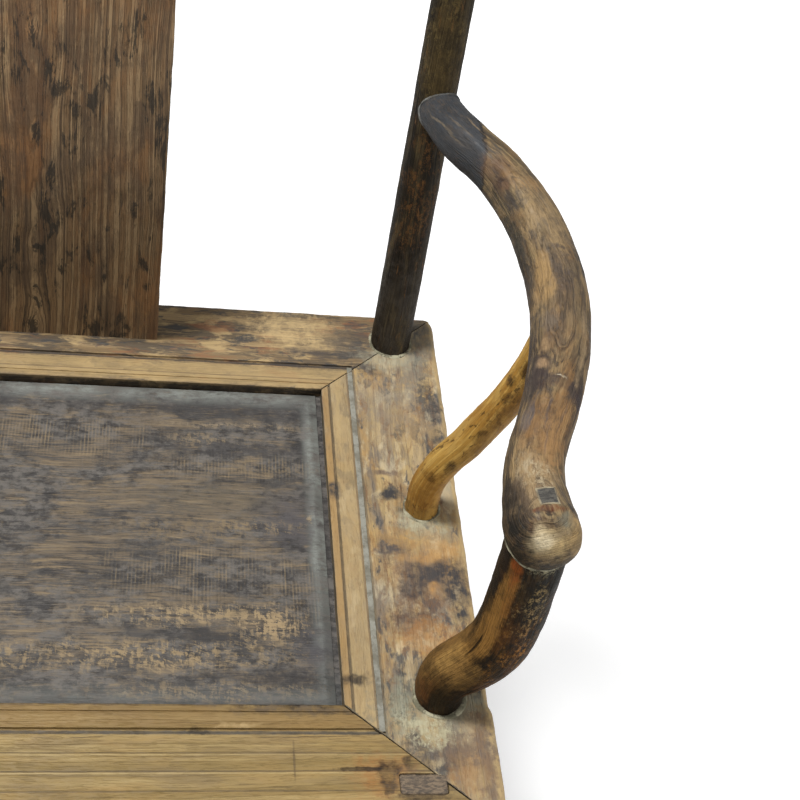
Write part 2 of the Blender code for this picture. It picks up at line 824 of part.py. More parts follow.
def back_apron_board(home, name, extra=0):
    half_length = BACK_POST_X - BACK_LEG_TOP_RADIUS + APRON_HOUSING
    top = FRAME_UNDERSIDE - FIT_GAP
    return board_across(home, name, BACK_POST_Y, half_length, top - APRON_HEIGHT, top, extra)


def footrest_apron_board(home, name, extra=0):
    top = footrest_heights()[0] - FIT_GAP
    leg = front_leg_axis(1)(top)
    half_length = leg.x - FRONT_LEG_FOOT_RADIUS + APRON_HOUSING
    return board_across(home, name, leg.y, half_length, top - FOOTREST_APRON_HEIGHT, top, extra)


def side_apron_board(home, name, sign, extra=0):
    x = sign * (FRONT_LEG_X + BACK_POST_X) / 2
    half = APRON_THICKNESS / 2 + extra
    top = FRAME_UNDERSIDE - FIT_GAP
    front = FRONT_LEG_SETBACK + FRONT_LEG_TOP_RADIUS - APRON_HOUSING - extra
    back = BACK_POST_Y - BACK_LEG_TOP_RADIUS + APRON_HOUSING + extra
    return box(home, name, (x - half, front, top - APRON_HEIGHT - extra), (x + half, back, top + extra))


def front_apron_side_board(home, name, sign, extra=0):
    """The board down a front leg, from the apron to the footrest, its outer edge following the leg."""
    top = FRAME_UNDERSIDE - FIT_GAP - APRON_HEIGHT - FIT_GAP + extra
    bottom = FOOTREST_HEIGHT + FIT_GAP - extra
    axis = front_leg_axis(1)
    housed = APRON_HOUSING + extra - FRONT_LEG_TOP_RADIUS
    outline = []
    for height in (bottom, top):
        outline.append((sign * (axis(height).x + housed), height))
    for height in (top, bottom):
        outline.append((sign * (axis(height).x - FRONT_LEG_TOP_RADIUS - FRONT_APRON_SIDE_WIDTH), height))
    half = APRON_THICKNESS / 2 + extra
    y = axis(FOOTREST_HEIGHT).lerp(axis(top), 1 / 2).y
    return prism(home, name, [outline], y - half, y + half, UPRIGHT_ACROSS)


# Seat frame and panel
def rounded_outline():
    """The frame's outer edge seen from above, with its corners rounded."""
    points = []
    corners = ((1, 0, -90), (1, SEAT_DEPTH, 0), (-1, SEAT_DEPTH, 90), (-1, 0, 180))
    for sign, y, start in corners:
        x = sign * (SEAT_WIDTH / 2 - SEAT_CORNER_RADIUS)
        inward = SEAT_CORNER_RADIUS if y == 0 else -SEAT_CORNER_RADIUS
        for step in range(CORNER_STEPS + 1):
            angle = math.radians(start + 90 * step / CORNER_STEPS)
            points.append((
                x + SEAT_CORNER_RADIUS * math.cos(angle),
                y + inward + SEAT_CORNER_RADIUS * math.sin(angle),
            ))
    return points


def rectangle(half_width, front, back):
    return [(-half_width, front), (half_width, front), (half_width, back), (-half_width, back)]


def mitre_corner(sign, end, along):
    """A point on a mitre line: 0 at the opening's corner, 1 at the frame's outer corner."""
    x = OPENING_HALF_WIDTH + SIDE_RAIL_WIDTH * along
    y = OPENING_FRONT - END_RAIL_WIDTH * along if end < 0 else OPENING_BACK + END_RAIL_WIDTH * along
    return sign * x, y


def end_rail_sector(name, end):
    """The wedge-ended outline that keeps only the front or back rail of the frame."""
    inner, outer = MITRE_CUT_SHARES
    clearance = FIT_GAP * math.hypot(SIDE_RAIL_WIDTH, END_RAIL_WIDTH) / SIDE_RAIL_WIDTH
    shares = ((-1, inner), (1, inner), (1, outer), (-1, outer))
    corners = [mitre_corner(sign, end, along) for sign, along in shares]
    outline = [(x, y + end * clearance) for x, y in corners]
    return prism(CUTTERS, name, [outline], FRAME_UNDERSIDE - OVERRUN, SEAT_HEIGHT + OVERRUN)


def side_rail_sector(name, sign):
    inner, outer = MITRE_CUT_SHARES
    shares = ((-1, inner), (-1, outer), (1, outer), (1, inner))
    outline = [mitre_corner(sign, end, along) for end, along in shares]
    return prism(CUTTERS, name, [outline], FRAME_UNDERSIDE - OVERRUN, SEAT_HEIGHT + OVERRUN)


def frame_rail(name, sector, shared):
    """One rail of the frame, cut out of the whole moulded frame along its mitres."""
    rail = prism(PARTS, name, [rounded_outline()], FRAME_UNDERSIDE, SEAT_HEIGHT)
    round_edges(rail, SEAT_EDGE_ROUND)
    combine(rail, sector, "INTERSECT")
    cut(rail, *shared)
    return dress(rail, HONEY_ELM)


def shared_frame_cuts():
    """The seat opening, the panel's groove and the carved line."""
    opening = box(
        CUTTERS, "cut_seat_opening",
        (-OPENING_HALF_WIDTH, OPENING_FRONT, FRAME_UNDERSIDE - OVERRUN),
        (OPENING_HALF_WIDTH, OPENING_BACK, SEAT_HEIGHT + OVERRUN),
    )
    reach = TONGUE_REACH + FIT_GAP
    high = PANEL_TOP - TONGUE_DROP
    groove = box(
        CUTTERS, "cut_panel_groove",
        (-OPENING_HALF_WIDTH - reach, OPENING_FRONT - reach, high - TONGUE_THICKNESS - FIT_GAP),
        (OPENING_HALF_WIDTH + reach, OPENING_BACK + reach, high + FIT_GAP),
    )
    outlines = [
        rectangle(
            OPENING_HALF_WIDTH + SIDE_GROOVE_INSET + side * GROOVE_WIDTH / 2,
            OPENING_FRONT - FRONT_GROOVE_INSET - side * GROOVE_WIDTH / 2,
            OPENING_BACK + BACK_GROOVE_INSET + side * GROOVE_WIDTH / 2,
        )
        for side in (1, -1)
    ]
    line = prism(CUTTERS, "cut_carved_line", outlines, SEAT_HEIGHT - GROOVE_DEPTH, SEAT_HEIGHT + OVERRUN)
    return opening, groove, line


def post_holes(sign, side):
    """The holes of one side of the frame: the front leg's tenon and the back post."""
    leg_hole = leg_tenon(f"cut_leg_hole_{side}", sign, FIT_GAP)
    post_hole = back_post_body(CUTTERS, f"cut_post_hole_{side}", sign, FIT_GAP)
    return leg_hole, post_hole


def seat_frame():
    shared = shared_frame_cuts()
    holes = {side: post_holes(sign, side) for side, sign in SIDES}
    for end_name, end in (("front", -1), ("back", 1)):
        rail = frame_rail(f"seat_{end_name}_rail", end_rail_sector(f"keep_{end_name}_rail", end), shared)
        for side, sign in SIDES:
            join(rail, rail_tenon(f"add_{end_name}_tenon_{side}", sign, end))
            cut(rail, batten_tenon(f"cut_{end_name}_batten_{side}", sign, FIT_GAP))
            cut(rail, holes[side][0] if end < 0 else holes[side][1])
            cut(rail, corner_peg_rod(CUTTERS, f"cut_peg_{end_name}_{side}", sign, end, FIT_GAP))
        if end > 0:
            cut(rail, splat_tenon("cut_splat_foot", False, FIT_GAP))
    for side, sign in SIDES:
        rail = frame_rail(f"seat_side_rail_{side}", side_rail_sector(f"keep_{side}_rail", sign), shared)
        cut(rail, *holes[side])
        for end_name, end in (("front", -1), ("back", 1)):
            cut(rail, rail_tenon(f"cut_{end_name}_mortise_{side}", sign, end, FIT_GAP))
            cut(rail, bpy.data.objects[f"cut_peg_{end_name}_{side}"])
        front_foot = front_post_ends(sign)[0]
        side_foot = side_post_ends(sign)[0]
        cut(rail, foot_tenon(f"cut_front_foot_{side}", front_foot, FRONT_POST_FOOT_TENON_RADIUS, FIT_GAP))
        cut(rail, foot_tenon(f"cut_side_foot_{side}", side_foot, SIDE_POST_FOOT_TENON_RADIUS, FIT_GAP))


def corner_pegs():
    for end_name, end in (("front", -1), ("back", 1)):
        for side, sign in SIDES:
            name = f"seat_corner_peg_{end_name}_{side}"
            dress(corner_peg_rod(PARTS, name, sign, end), PEG_WOOD)


def seat_panel():
    """The floating panel: a bevelled field, with a tongue all round in the rails' groove."""
    clear = PANEL_SHRINKAGE
    panel = box(
        PARTS, "seat_panel",
        (-OPENING_HALF_WIDTH + clear, OPENING_FRONT + clear, PANEL_UNDERSIDE),
        (OPENING_HALF_WIDTH - clear, OPENING_BACK - clear, PANEL_TOP - PANEL_BEVEL_DEPTH),
    )
    shape = bmesh.new()
    shape.from_mesh(panel.data)
    top = [face for face in shape.faces if face.normal.z > 1 / 2]
    bmesh.ops.inset_region(shape, faces=top, thickness=PANEL_BEVEL_WIDTH, depth=PANEL_BEVEL_DEPTH)
    shape.to_mesh(panel.data)
    shape.free()
    reach = TONGUE_REACH - PANEL_SHRINKAGE
    high = PANEL_TOP - TONGUE_DROP
    tongue = box(
        CUTTERS, "add_panel_tongue",
        (-OPENING_HALF_WIDTH - reach, OPENING_FRONT - reach, high - TONGUE_THICKNESS),
        (OPENING_HALF_WIDTH + reach, OPENING_BACK + reach, high),
    )
    join(panel, tongue)
    for side, sign in SIDES:
        cut(panel, dovetail(f"cut_dovetail_{side}", sign, FIT_GAP))
    dress(panel, SLATE_LACQUER)


def dovetail(name, sign, extra=0):
    """The dovetailed ridge of a batten, along its whole length."""
    middle = sign * OPENING_HALF_WIDTH * BATTEN_PLACE_SHARE
    neck = DOVETAIL_NECK / 2 + extra
    flare = neck + DOVETAIL_FLARE
    low = PANEL_UNDERSIDE - BATTEN_HEIGHT / 4
    high = PANEL_UNDERSIDE + DOVETAIL_HEIGHT + extra
    outline = [
        (middle - neck, low),
        (middle + neck, low),
        (middle + neck, PANEL_UNDERSIDE),
        (middle + flare, high),
        (middle - flare, high),
        (middle - neck, PANEL_UNDERSIDE),
    ]
    past = TONGUE_REACH + OVERRUN if extra else -FIT_GAP
    return prism(CUTTERS, name, [outline], OPENING_FRONT - past, OPENING_BACK + past, UPRIGHT_ACROSS)


def panel_battens():
    for side, sign in SIDES:
        middle = sign * OPENING_HALF_WIDTH * BATTEN_PLACE_SHARE
        top = PANEL_UNDERSIDE - FIT_GAP
        batten = box(
            PARTS, f"panel_batten_{side}",
            (middle - BATTEN_WIDTH / 2, OPENING_FRONT + FIT_GAP, top - BATTEN_HEIGHT),
            (middle + BATTEN_WIDTH / 2, OPENING_BACK - FIT_GAP, top),
        )
        join(batten, dovetail(f"add_dovetail_{side}", sign), batten_tenon(f"add_batten_tenon_{side}", sign))
        dress(batten, WORN_ELM)


# Legs and posts
def stretcher_cutters(sign, side):
    start, end = stretcher_ends(sign)
    return stretcher_tenons(f"cut_side_stretcher_{side}", start, end, FIT_GAP)


def front_legs():
    rest = footrest_tenons("cut_footrest_tenons", FIT_GAP)
    apron = front_apron_board(CUTTERS, "cut_front_apron", FIT_GAP)
    low_apron = footrest_apron_board(CUTTERS, "cut_footrest_apron", FIT_GAP)
    for side, sign in SIDES:
        leg = front_leg_body(PARTS, f"front_leg_{side}", sign)
        join(leg, leg_tenon(f"add_leg_tenon_{side}", sign))
        cut(leg, apron, low_apron, rest)
        cut(leg, front_apron_side_board(CUTTERS, f"cut_front_apron_side_{side}", sign, FIT_GAP))
        cut(leg, side_apron_board(CUTTERS, f"cut_side_apron_{side}", sign, FIT_GAP))
        cut(leg, stretcher_cutters(sign, side))
        dress(leg, HONEY_ELM)


def back_posts():
    apron = back_apron_board(CUTTERS, "cut_back_apron", FIT_GAP)
    ends = [back_post_axis(sign)(BACK_STRETCHER_HEIGHT) for sign in (-1, 1)]
    stretcher = stretcher_tenons("cut_back_stretcher", *ends, FIT_GAP)
    crest = crest_body(CUTTERS, "cut_crest", FIT_GAP)
    for side, sign in SIDES:
        post = back_post_body(PARTS, f"back_post_{side}", sign)
        cut(post, crest)
        join(post, crest_tenon(f"add_crest_tenon_{side}", sign))
        cut(post, crest_peg_rod(CUTTERS, f"cut_crest_peg_{side}", sign, FIT_GAP))
        cut(post, arm_rear_tenon(f"cut_arm_tenon_{side}", sign, FIT_GAP))
        cut(post, arm_peg_rod(CUTTERS, f"cut_arm_peg_{side}", sign, FIT_GAP))
        cut(post, apron, stretcher)
        cut(post, bpy.data.objects[f"cut_side_apron_{side}"])
        cut(post, bpy.data.objects[f"cut_side_stretcher_{side}"])
        dress(post, DARK_ELM)


def seat_trim():
    """The block that cuts a post's foot level with the seat's top."""
    half = SEAT_WIDTH
    return box(
        CUTTERS, "cut_below_seat",
        (-half, -SEAT_DEPTH, FRAME_UNDERSIDE - SEAT_HEIGHT / 4),
        (half, SEAT_DEPTH + SEAT_DEPTH, SEAT_HEIGHT + FIT_GAP),
    )


def arm_posts():
    below = seat_trim()
    for side, sign in SIDES:
        arm = arm_body(CUTTERS, f"cut_arm_{side}", sign, FIT_GAP)
        foot, top = front_post_ends(sign)
        points, radii = post_line(foot, top, FRONT_POST_SHARES, FRONT_POST_RADIUS)
        front = tube(PARTS, f"front_arm_post_{side}", points, radii)
        cut(front, below, arm)
        join(front, foot_tenon(f"add_front_foot_{side}", foot, FRONT_POST_FOOT_TENON_RADIUS))
        join(front, front_post_tenon(f"add_front_arm_tenon_{side}", sign))
        dress(front, DARK_ELM)
        foot, top = side_post_ends(sign)
        points, radii = post_line(foot, top, SIDE_POST_SHARES, SIDE_POST_RADIUS)
        slim = tube(PARTS, f"side_arm_post_{side}", points, radii, THIN_ROUND_RESOLUTION)
        cut(slim, below, arm)
        join(slim, foot_tenon(f"add_side_foot_{side}", foot, SIDE_POST_FOOT_TENON_RADIUS))
        join(slim, side_post_tenon(f"add_side_arm_tenon_{side}", sign))
        dress(slim, OCHRE_ELM)


# Arms and crest
def arms():
    for side, sign in SIDES:
        arm = arm_body(PARTS, f"arm_{side}", sign)
        cut(arm, back_post_body(CUTTERS, f"cut_back_post_{side}", sign, FIT_GAP))
        join(arm, arm_rear_tenon(f"add_arm_tenon_{side}", sign))
        cut(arm, bpy.data.objects[f"cut_arm_peg_{side}"])
        cut(arm, front_post_tenon(f"cut_front_arm_tenon_{side}", sign, FIT_GAP))
        cut(arm, side_post_tenon(f"cut_side_arm_tenon_{side}", sign, FIT_GAP))
        dress(arm, WORN_ELM)


def back_pegs():
    for side, sign in SIDES:
        dress(arm_peg_rod(PARTS, f"arm_peg_{side}", sign), PEG_WOOD)
        dress(crest_peg_rod(PARTS, f"crest_peg_{side}", sign), PEG_WOOD)


def crest_rail():
    crest = crest_body(PARTS, "crest_rail")
    for side, sign in SIDES:
        cut(crest, crest_tenon(f"cut_crest_tenon_{side}", sign, FIT_GAP))
        cut(crest, bpy.data.objects[f"cut_crest_peg_{side}"])
    cut(crest, splat_tenon("cut_splat_top", True, FIT_GAP))
    dress(crest, DARK_ELM)


def back_splat():
    """A board of even thickness whose side view is a gentle S."""
    line = splat_line()
    front = []
    back = []
    for i, point in enumerate(line):
        onward = line[min(i + 1, len(line) - 1)] - line[max(i - 1, 0)]
        normal = Vector((0, onward.z, -onward.y)).normalized() * SPLAT_THICKNESS / 2
        back.append((point.y + normal.y, point.z + normal.z))
        front.append((point.y - normal.y, point.z - normal.z))
    front[0] = (front[0][0], line[0].z)
    back[0] = (back[0][0], line[0].z)
    half = SPLAT_WIDTH / 2
    splat = prism(PARTS, "back_splat", [front + back[::-1]], -half, half, UPRIGHT_ALONG)
    cut(splat, bpy.data.objects["cut_crest"])
    join(splat, splat_tenon("add_splat_foot", False), splat_tenon("add_splat_top", True))
    dress(splat, WORN_ELM)


# Aprons, footrest and stretchers
def aprons():
    dress(front_apron_board(PARTS, "front_apron"), WORN_ELM)
    dress(back_apron_board(PARTS, "back_apron"), WORN_ELM)
    for side, sign in SIDES:
        dress(side_apron_board(PARTS, f"side_apron_{side}", sign), WORN_ELM)
        dress(front_apron_side_board(PARTS, f"front_apron_side_{side}", sign), WORN_ELM)


def footrest():
    low, high = footrest_heights()
    leg = front_leg_axis(1)((low + high) / 2)
    plank = box(
        PARTS, "footrest",
        (-leg.x, leg.y - FRONT_LEG_FOOT_RADIUS - FOOTREST_NOSE, low),
        (leg.x, leg.y + FOOTREST_HEEL, high),
    )
    round_edges(plank, FOOTREST_EDGE_ROUND)
    for side, sign in SIDES:
        cut(plank, front_leg_body(CUTTERS, f"cut_front_leg_{side}", sign, FIT_GAP))
    join(plank, footrest_tenons("add_footrest_tenons"))
    dress(plank, HONEY_ELM)
    dress(footrest_apron_board(PARTS, "footrest_apron"), WORN_ELM)


def stretchers():
    for side, sign in SIDES:
        start, end = stretcher_ends(sign)
        stretcher = rod(PARTS, f"side_stretcher_{side}", start, end, STRETCHER_RADIUS)
        cut(stretcher, bpy.data.objects[f"cut_front_leg_{side}"], bpy.data.objects[f"cut_back_post_{side}"])
        join(stretcher, stretcher_tenons(f"add_side_stretcher_{side}", start, end))
        dress(stretcher, WORN_ELM)
    ends = [back_post_axis(sign)(BACK_STRETCHER_HEIGHT) for sign in (-1, 1)]
    stretcher = rod(PARTS, "back_stretcher", *ends, STRETCHER_RADIUS)
    cut(stretcher, *[bpy.data.objects[f"cut_back_post_{side}"] for side, _ in SIDES])
    join(stretcher, stretcher_tenons("add_back_stretcher", *ends))
    dress(stretcher, WORN_ELM)


def main():
    seat_frame()
    seat_panel()
    panel_battens()
    corner_pegs()
    front_legs()
    back_posts()
    arm_posts()
    arms()
    crest_rail()
    back_splat()
    back_pegs()
    aprons()
    footrest()
    stretchers()
    ORIGIN.location.y = -origin_y()
    bpy.context.view_layer.update()


main()
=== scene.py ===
"""A worn yoke-back armchair in elm: every visible piece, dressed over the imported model, and its studio.

Units are metres, except in the stains' rows, which are in millimetres. Places across and up are the
model's own. Places from front to back are measured from the seat's front edge, and at() turns them
into the model's.
"""

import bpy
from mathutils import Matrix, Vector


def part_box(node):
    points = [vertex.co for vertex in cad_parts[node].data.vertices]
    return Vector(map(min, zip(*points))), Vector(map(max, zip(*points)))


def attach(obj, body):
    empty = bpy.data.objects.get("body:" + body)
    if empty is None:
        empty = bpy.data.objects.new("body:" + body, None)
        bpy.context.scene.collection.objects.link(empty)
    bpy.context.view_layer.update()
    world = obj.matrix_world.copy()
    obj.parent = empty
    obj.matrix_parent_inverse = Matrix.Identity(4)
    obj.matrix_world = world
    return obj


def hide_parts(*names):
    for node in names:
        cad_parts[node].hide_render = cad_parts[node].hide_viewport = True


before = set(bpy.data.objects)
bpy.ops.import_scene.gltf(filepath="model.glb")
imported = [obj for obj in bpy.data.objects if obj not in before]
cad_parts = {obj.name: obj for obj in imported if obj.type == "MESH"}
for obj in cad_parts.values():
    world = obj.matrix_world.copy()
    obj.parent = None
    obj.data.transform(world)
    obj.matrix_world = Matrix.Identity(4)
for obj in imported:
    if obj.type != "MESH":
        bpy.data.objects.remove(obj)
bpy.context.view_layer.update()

import logging
import math
from contextlib import contextmanager
from dataclasses import dataclass, replace
from enum import Enum
from functools import cache
from itertools import pairwise, product
from statistics import NormalDist
from typing import Callable, Iterator, Sequence

import bmesh
import bpy
import numpy as np
from mathutils import Matrix, Quaternion, Vector, geometry, noise

LOG = logging.getLogger("armchair")
Triple = tuple[float, float, float]
Piece = bpy.types.Object
Socket = bpy.types.NodeSocket
Wear = tuple[tuple[float, float], tuple[float, float]]
SEAT_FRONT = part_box("seat_front_rail")[0].y
SEAT_WIDTH = 0.620
SEAT_DEPTH = 0.480
SEAT_HEIGHT = 0.500
FRAME_UNDERSIDE = 0.466
PANEL_UNDERSIDE = 0.482
ACROSS = Vector((1, 0, 0))
BACKWARD = Vector((0, 1, 0))
UPWARD = Vector((0, 0, 1))
ONE = Vector((1, 1, 1))
GRAIN = "wood"
RUB_SHADE_AND_SHEEN = "rub"
HANDLE_REACH = 2.5614
NOISE_SPREAD = 0.085
FACING = 0.9
TINY = 1e-6
NEAR = 1e-5
SKIN = 1e-4
ARRIS_ANGLE = math.radians(35)
SMOOTH_ANGLE = math.radians(38)
STICK_PITCH = 0.012
SAWN_RIM = 0.0012


class Side(Enum):
    """The chair's two hands, as the sign of x."""

    LEFT = 1
    RIGHT = -1

    @property
    def word(self) -> str:
        """The side's name in the names of nodes."""
        return self.name.lower()


class End(Enum):
    """How a stick's end is closed."""

    SAWN = "sawn"
    DOMED = "domed"


class Ground(Enum):
    """What a stain's place is measured in."""

    CHAIR = "chair"
    STICK = "stick"


def at(x: float, y: float, z: float) -> Vector:
    """Turns a place measured from the seat's front edge into the model's."""
    return Vector((x, SEAT_FRONT + y, z))


def metres(*lengths: float) -> tuple[float, ...]:
    """Turns millimetres into metres."""
    return tuple(length / 1000 for length in lengths)


def tone(red: float, green: float, blue: float) -> tuple[float, float, float, float]:
    """Turns a display colour of 0 to 255 into the linear colour that a shader takes.

    Args:
        red: red on the display.
        green: green on the display.
        blue: blue on the display.

    Returns:
        The linear colour, opaque.
    """
    shares = [channel / 255 for channel in (red, green, blue)]
    linear = [s / 12.92 if s <= 0.04045 else ((s + 0.055) / 1.055) ** 2.4 for s in shares]
    return (*linear, 1.0)


def waver(x: float, y: float, z: float) -> float:
    """Smooth noise between -1 and 1 at a place."""
    return noise.noise(Vector((x, y, z)))


def ease(share: float) -> float:
    """Smooths a share between 0 and 1 so that it starts and stops gently."""
    share = min(max(share, 0.0), 1.0)
    return share * share * (3 - 2 * share)


# Nodes and finishes
class Palette:
    """Writes the nodes of one material."""

    def __init__(self, name: str, ground: Triple = (255, 255, 255)) -> None:
        """Starts an empty material with a principled shader.

        Args:
            name: the material's name.
            ground: the display colour that the others are painted on.
        """
        self.colour = tone(*ground)
        self.material = bpy.data.materials.new(name)
        self.material.use_nodes = True
        self.tree = self.material.node_tree
        self.tree.nodes.clear()
        output = self.tree.nodes.new("ShaderNodeOutputMaterial")
        self.shader = self.tree.nodes.new("ShaderNodeBsdfPrincipled")
        self.tree.links.new(self.shader.outputs["BSDF"], output.inputs["Surface"])
        self.place = self.node("ShaderNodeTexCoord", {}).outputs["Object"]

    def put(self, socket: Socket, value: object) -> None:
        """Links a socket to another one, or sets its value.

        Args:
            socket: the socket.
            value: the other socket, or the value.
        """
        if isinstance(value, bpy.types.NodeSocket):
            self.tree.links.new(value, socket)
        else:
            socket.default_value = value

    def skin(self, inputs: dict[str, object]) -> None:
        """Links or sets the shader's inputs by their names."""
        for name, value in inputs.items():
            self.put(self.shader.inputs[name], value)

    def node(self, kind: str, inputs: dict, **settings: object) -> bpy.types.Node:
        """Adds a node.

        Args:
            kind: the node's type.
            inputs: socket names or numbers, with a value or a socket for each.
            settings: the node's own options.

        Returns:
            The new node.
        """
        made = self.tree.nodes.new(kind)
        for name, value in settings.items():
            setattr(made, name, value)
        for name, value in inputs.items():
            self.put(made.inputs[name], value)
        return made

    def maths(self, operation: str, one: object, two: object = 0, clamp: bool = False) -> Socket:
        """Joins two numbers by an operation, and holds the result between 0 and 1 if it is told to."""
        made = self.node("ShaderNodeMath", {0: one, 1: two}, operation=operation, use_clamp=clamp)
        return made.outputs[0]

    def times(self, one: object, two: object) -> Socket:
        """The product of two numbers."""
        return self.maths("MULTIPLY", one, two)

    def plus(self, one: object, two: object, clamp: bool = False) -> Socket:
        """The sum of two numbers."""
        return self.maths("ADD", one, two, clamp)

    def minus(self, one: object, two: object) -> Socket:
        """The difference of two numbers."""
        return self.maths("SUBTRACT", one, two)

    def vector(self, operation: str, one: object, two: object = (0, 0, 0)) -> Socket:
        """Joins two vectors by an operation; a length is a number."""
        made = self.node("ShaderNodeVectorMath", {0: one, 1: two}, operation=operation)
        return made.outputs["Value" if operation == "LENGTH" else "Vector"]

    def attribute(self, name: str) -> Socket:
        """The vectors that a piece holds under a name."""
        return self.node("ShaderNodeAttribute", {}, attribute_name=name).outputs["Vector"]

    def cloud(
        self, place: Socket, scale: Triple, detail: float = 3, rough: float = 0.5, lean: float = 0,
    ) -> Socket:
        """Noise at a place, stretched differently along each axis.

        Args:
            place: the coordinates.
            scale: how many lumps there are in a metre along each axis.
            detail: octaves of finer noise.
            rough: how strong the finer noise is.
            lean: how far the noise is bent by itself.

        Returns:
            A number about 0.5.
        """
        inputs = {"Vector": self.vector("MULTIPLY", place, scale), "Scale": 1, "Detail": detail}
        inputs |= {"Roughness": rough, "Distortion": lean}
        return self.node("ShaderNodeTexNoise", inputs).outputs["Fac"]

    def swayed(self, place: Socket, scale: Triple, reach: Triple) -> Socket:
        """Coordinates that wander, so that what is drawn on them looks grown and not ruled.

        Args:
            place: the coordinates.
            scale: how many bends there are in a metre along each axis.
            reach: how far each axis is moved.

        Returns:
            The moved coordinates.
        """
        inputs = {"Vector": self.vector("MULTIPLY", place, scale), "Scale": 1, "Detail": 3.0}
        drift = self.node("ShaderNodeTexNoise", inputs).outputs["Color"]
        move = self.vector("MULTIPLY", self.vector("SUBTRACT", drift, (0.5, 0.5, 0.5)), reach)
        return self.vector("ADD", place, move)

    def bands(self, distance: Socket, width: float, detail: float = 2, rough: float = 0.6) -> Socket:
        """Irregular bands along one number, as growth rings are.

        Args:
            distance: the number.
            width: the bands' mean width.
            detail: octaves of finer bands.
            rough: how strong the finer bands are.

        Returns:
            A number about 0.5.
        """
        count = self.maths("DIVIDE", distance, width)
        inputs = {"W": count, "Scale": 1, "Detail": detail, "Roughness": rough}
        return self.node("ShaderNodeTexNoise", inputs, noise_dimensions="1D").outputs["Fac"]

    def ramp(self, value: Socket, low: float, high: float, top: float = 1.0) -> Socket:
        """Rises smoothly from 0 to its top as a number goes from low to high.

        Args:
            value: the number.
            low: where the rise starts; above high, it is a fall instead.
            high: where it ends.
            top: the height that is reached.

        Returns:
            The height.
        """
        inputs = {"Value": value, "From Min": low, "From Max": high, "To Min": 0, "To Max": top}
        if low > high:
            inputs |= {"From Min": high, "From Max": low, "To Min": top, "To Max": 0.0}
        return self.node("ShaderNodeMapRange", inputs, interpolation_type="SMOOTHSTEP").outputs[0]

    def paint(self, share: object, colour: Triple) -> None:
        """Covers a share of what is painted so far with a display colour."""
        inputs = {0: share, 6: self.colour, 7: tone(*colour)}
        self.colour = self.node("ShaderNodeMix", inputs, data_type="RGBA").outputs[2]

    def relief(self, height: Socket, depth: float) -> None:
        """Gives the shader a bump of a depth in metres."""
        bump = self.node("ShaderNodeBump", {"Height": height, "Distance": depth, "Strength": 1.0})
        self.put(self.shader.inputs["Normal"], bump.outputs[0])


@dataclass(frozen=True)
class Stain:
    """A patch of another colour: old lacquer, damp, filler dust or wear, and in some places painted shade and
    painted highlights.
    """

    middle: Triple
    reach: Triple
    colour: Triple
    strength: float = 0.9
    ragged: float = 0.7
    soft: float = 0.5
    ground: Ground = Ground.CHAIR
    torn: bool = True
    lace: bool = False


def spread(board: Palette, stain: Stain, place: Socket, rag: Socket) -> Socket:
    """Where a stain lies.

    Args:
        board: the material's palette.
        stain: the patch.
        place: the coordinates that its place is given in.
        rag: noise that frays its edge.

    Returns:
        Its share at each place.
    """
    middle = at(*stain.middle) if stain.ground is Ground.CHAIR else Vector(stain.middle)
    shares = tuple(1 / reach for reach in stain.reach)
    offset = board.vector("MULTIPLY", board.vector("SUBTRACT", place, tuple(middle)), shares)
    frayed = board.times(board.minus(rag, 0.5), stain.ragged * 2)
    edge = board.plus(board.vector("LENGTH", offset), frayed)
    return board.ramp(edge, 1 + stain.soft, 1 - stain.soft, stain.strength)


@dataclass(frozen=True)
class Film:
    """A broken layer over the wood, such as old lacquer, dirt or a warm rubbed tone."""

    colour: Triple
    scale: Triple
    cover: float
    strength: float = 0.85
    soft: float = 0.03
    follow: float = 0.25


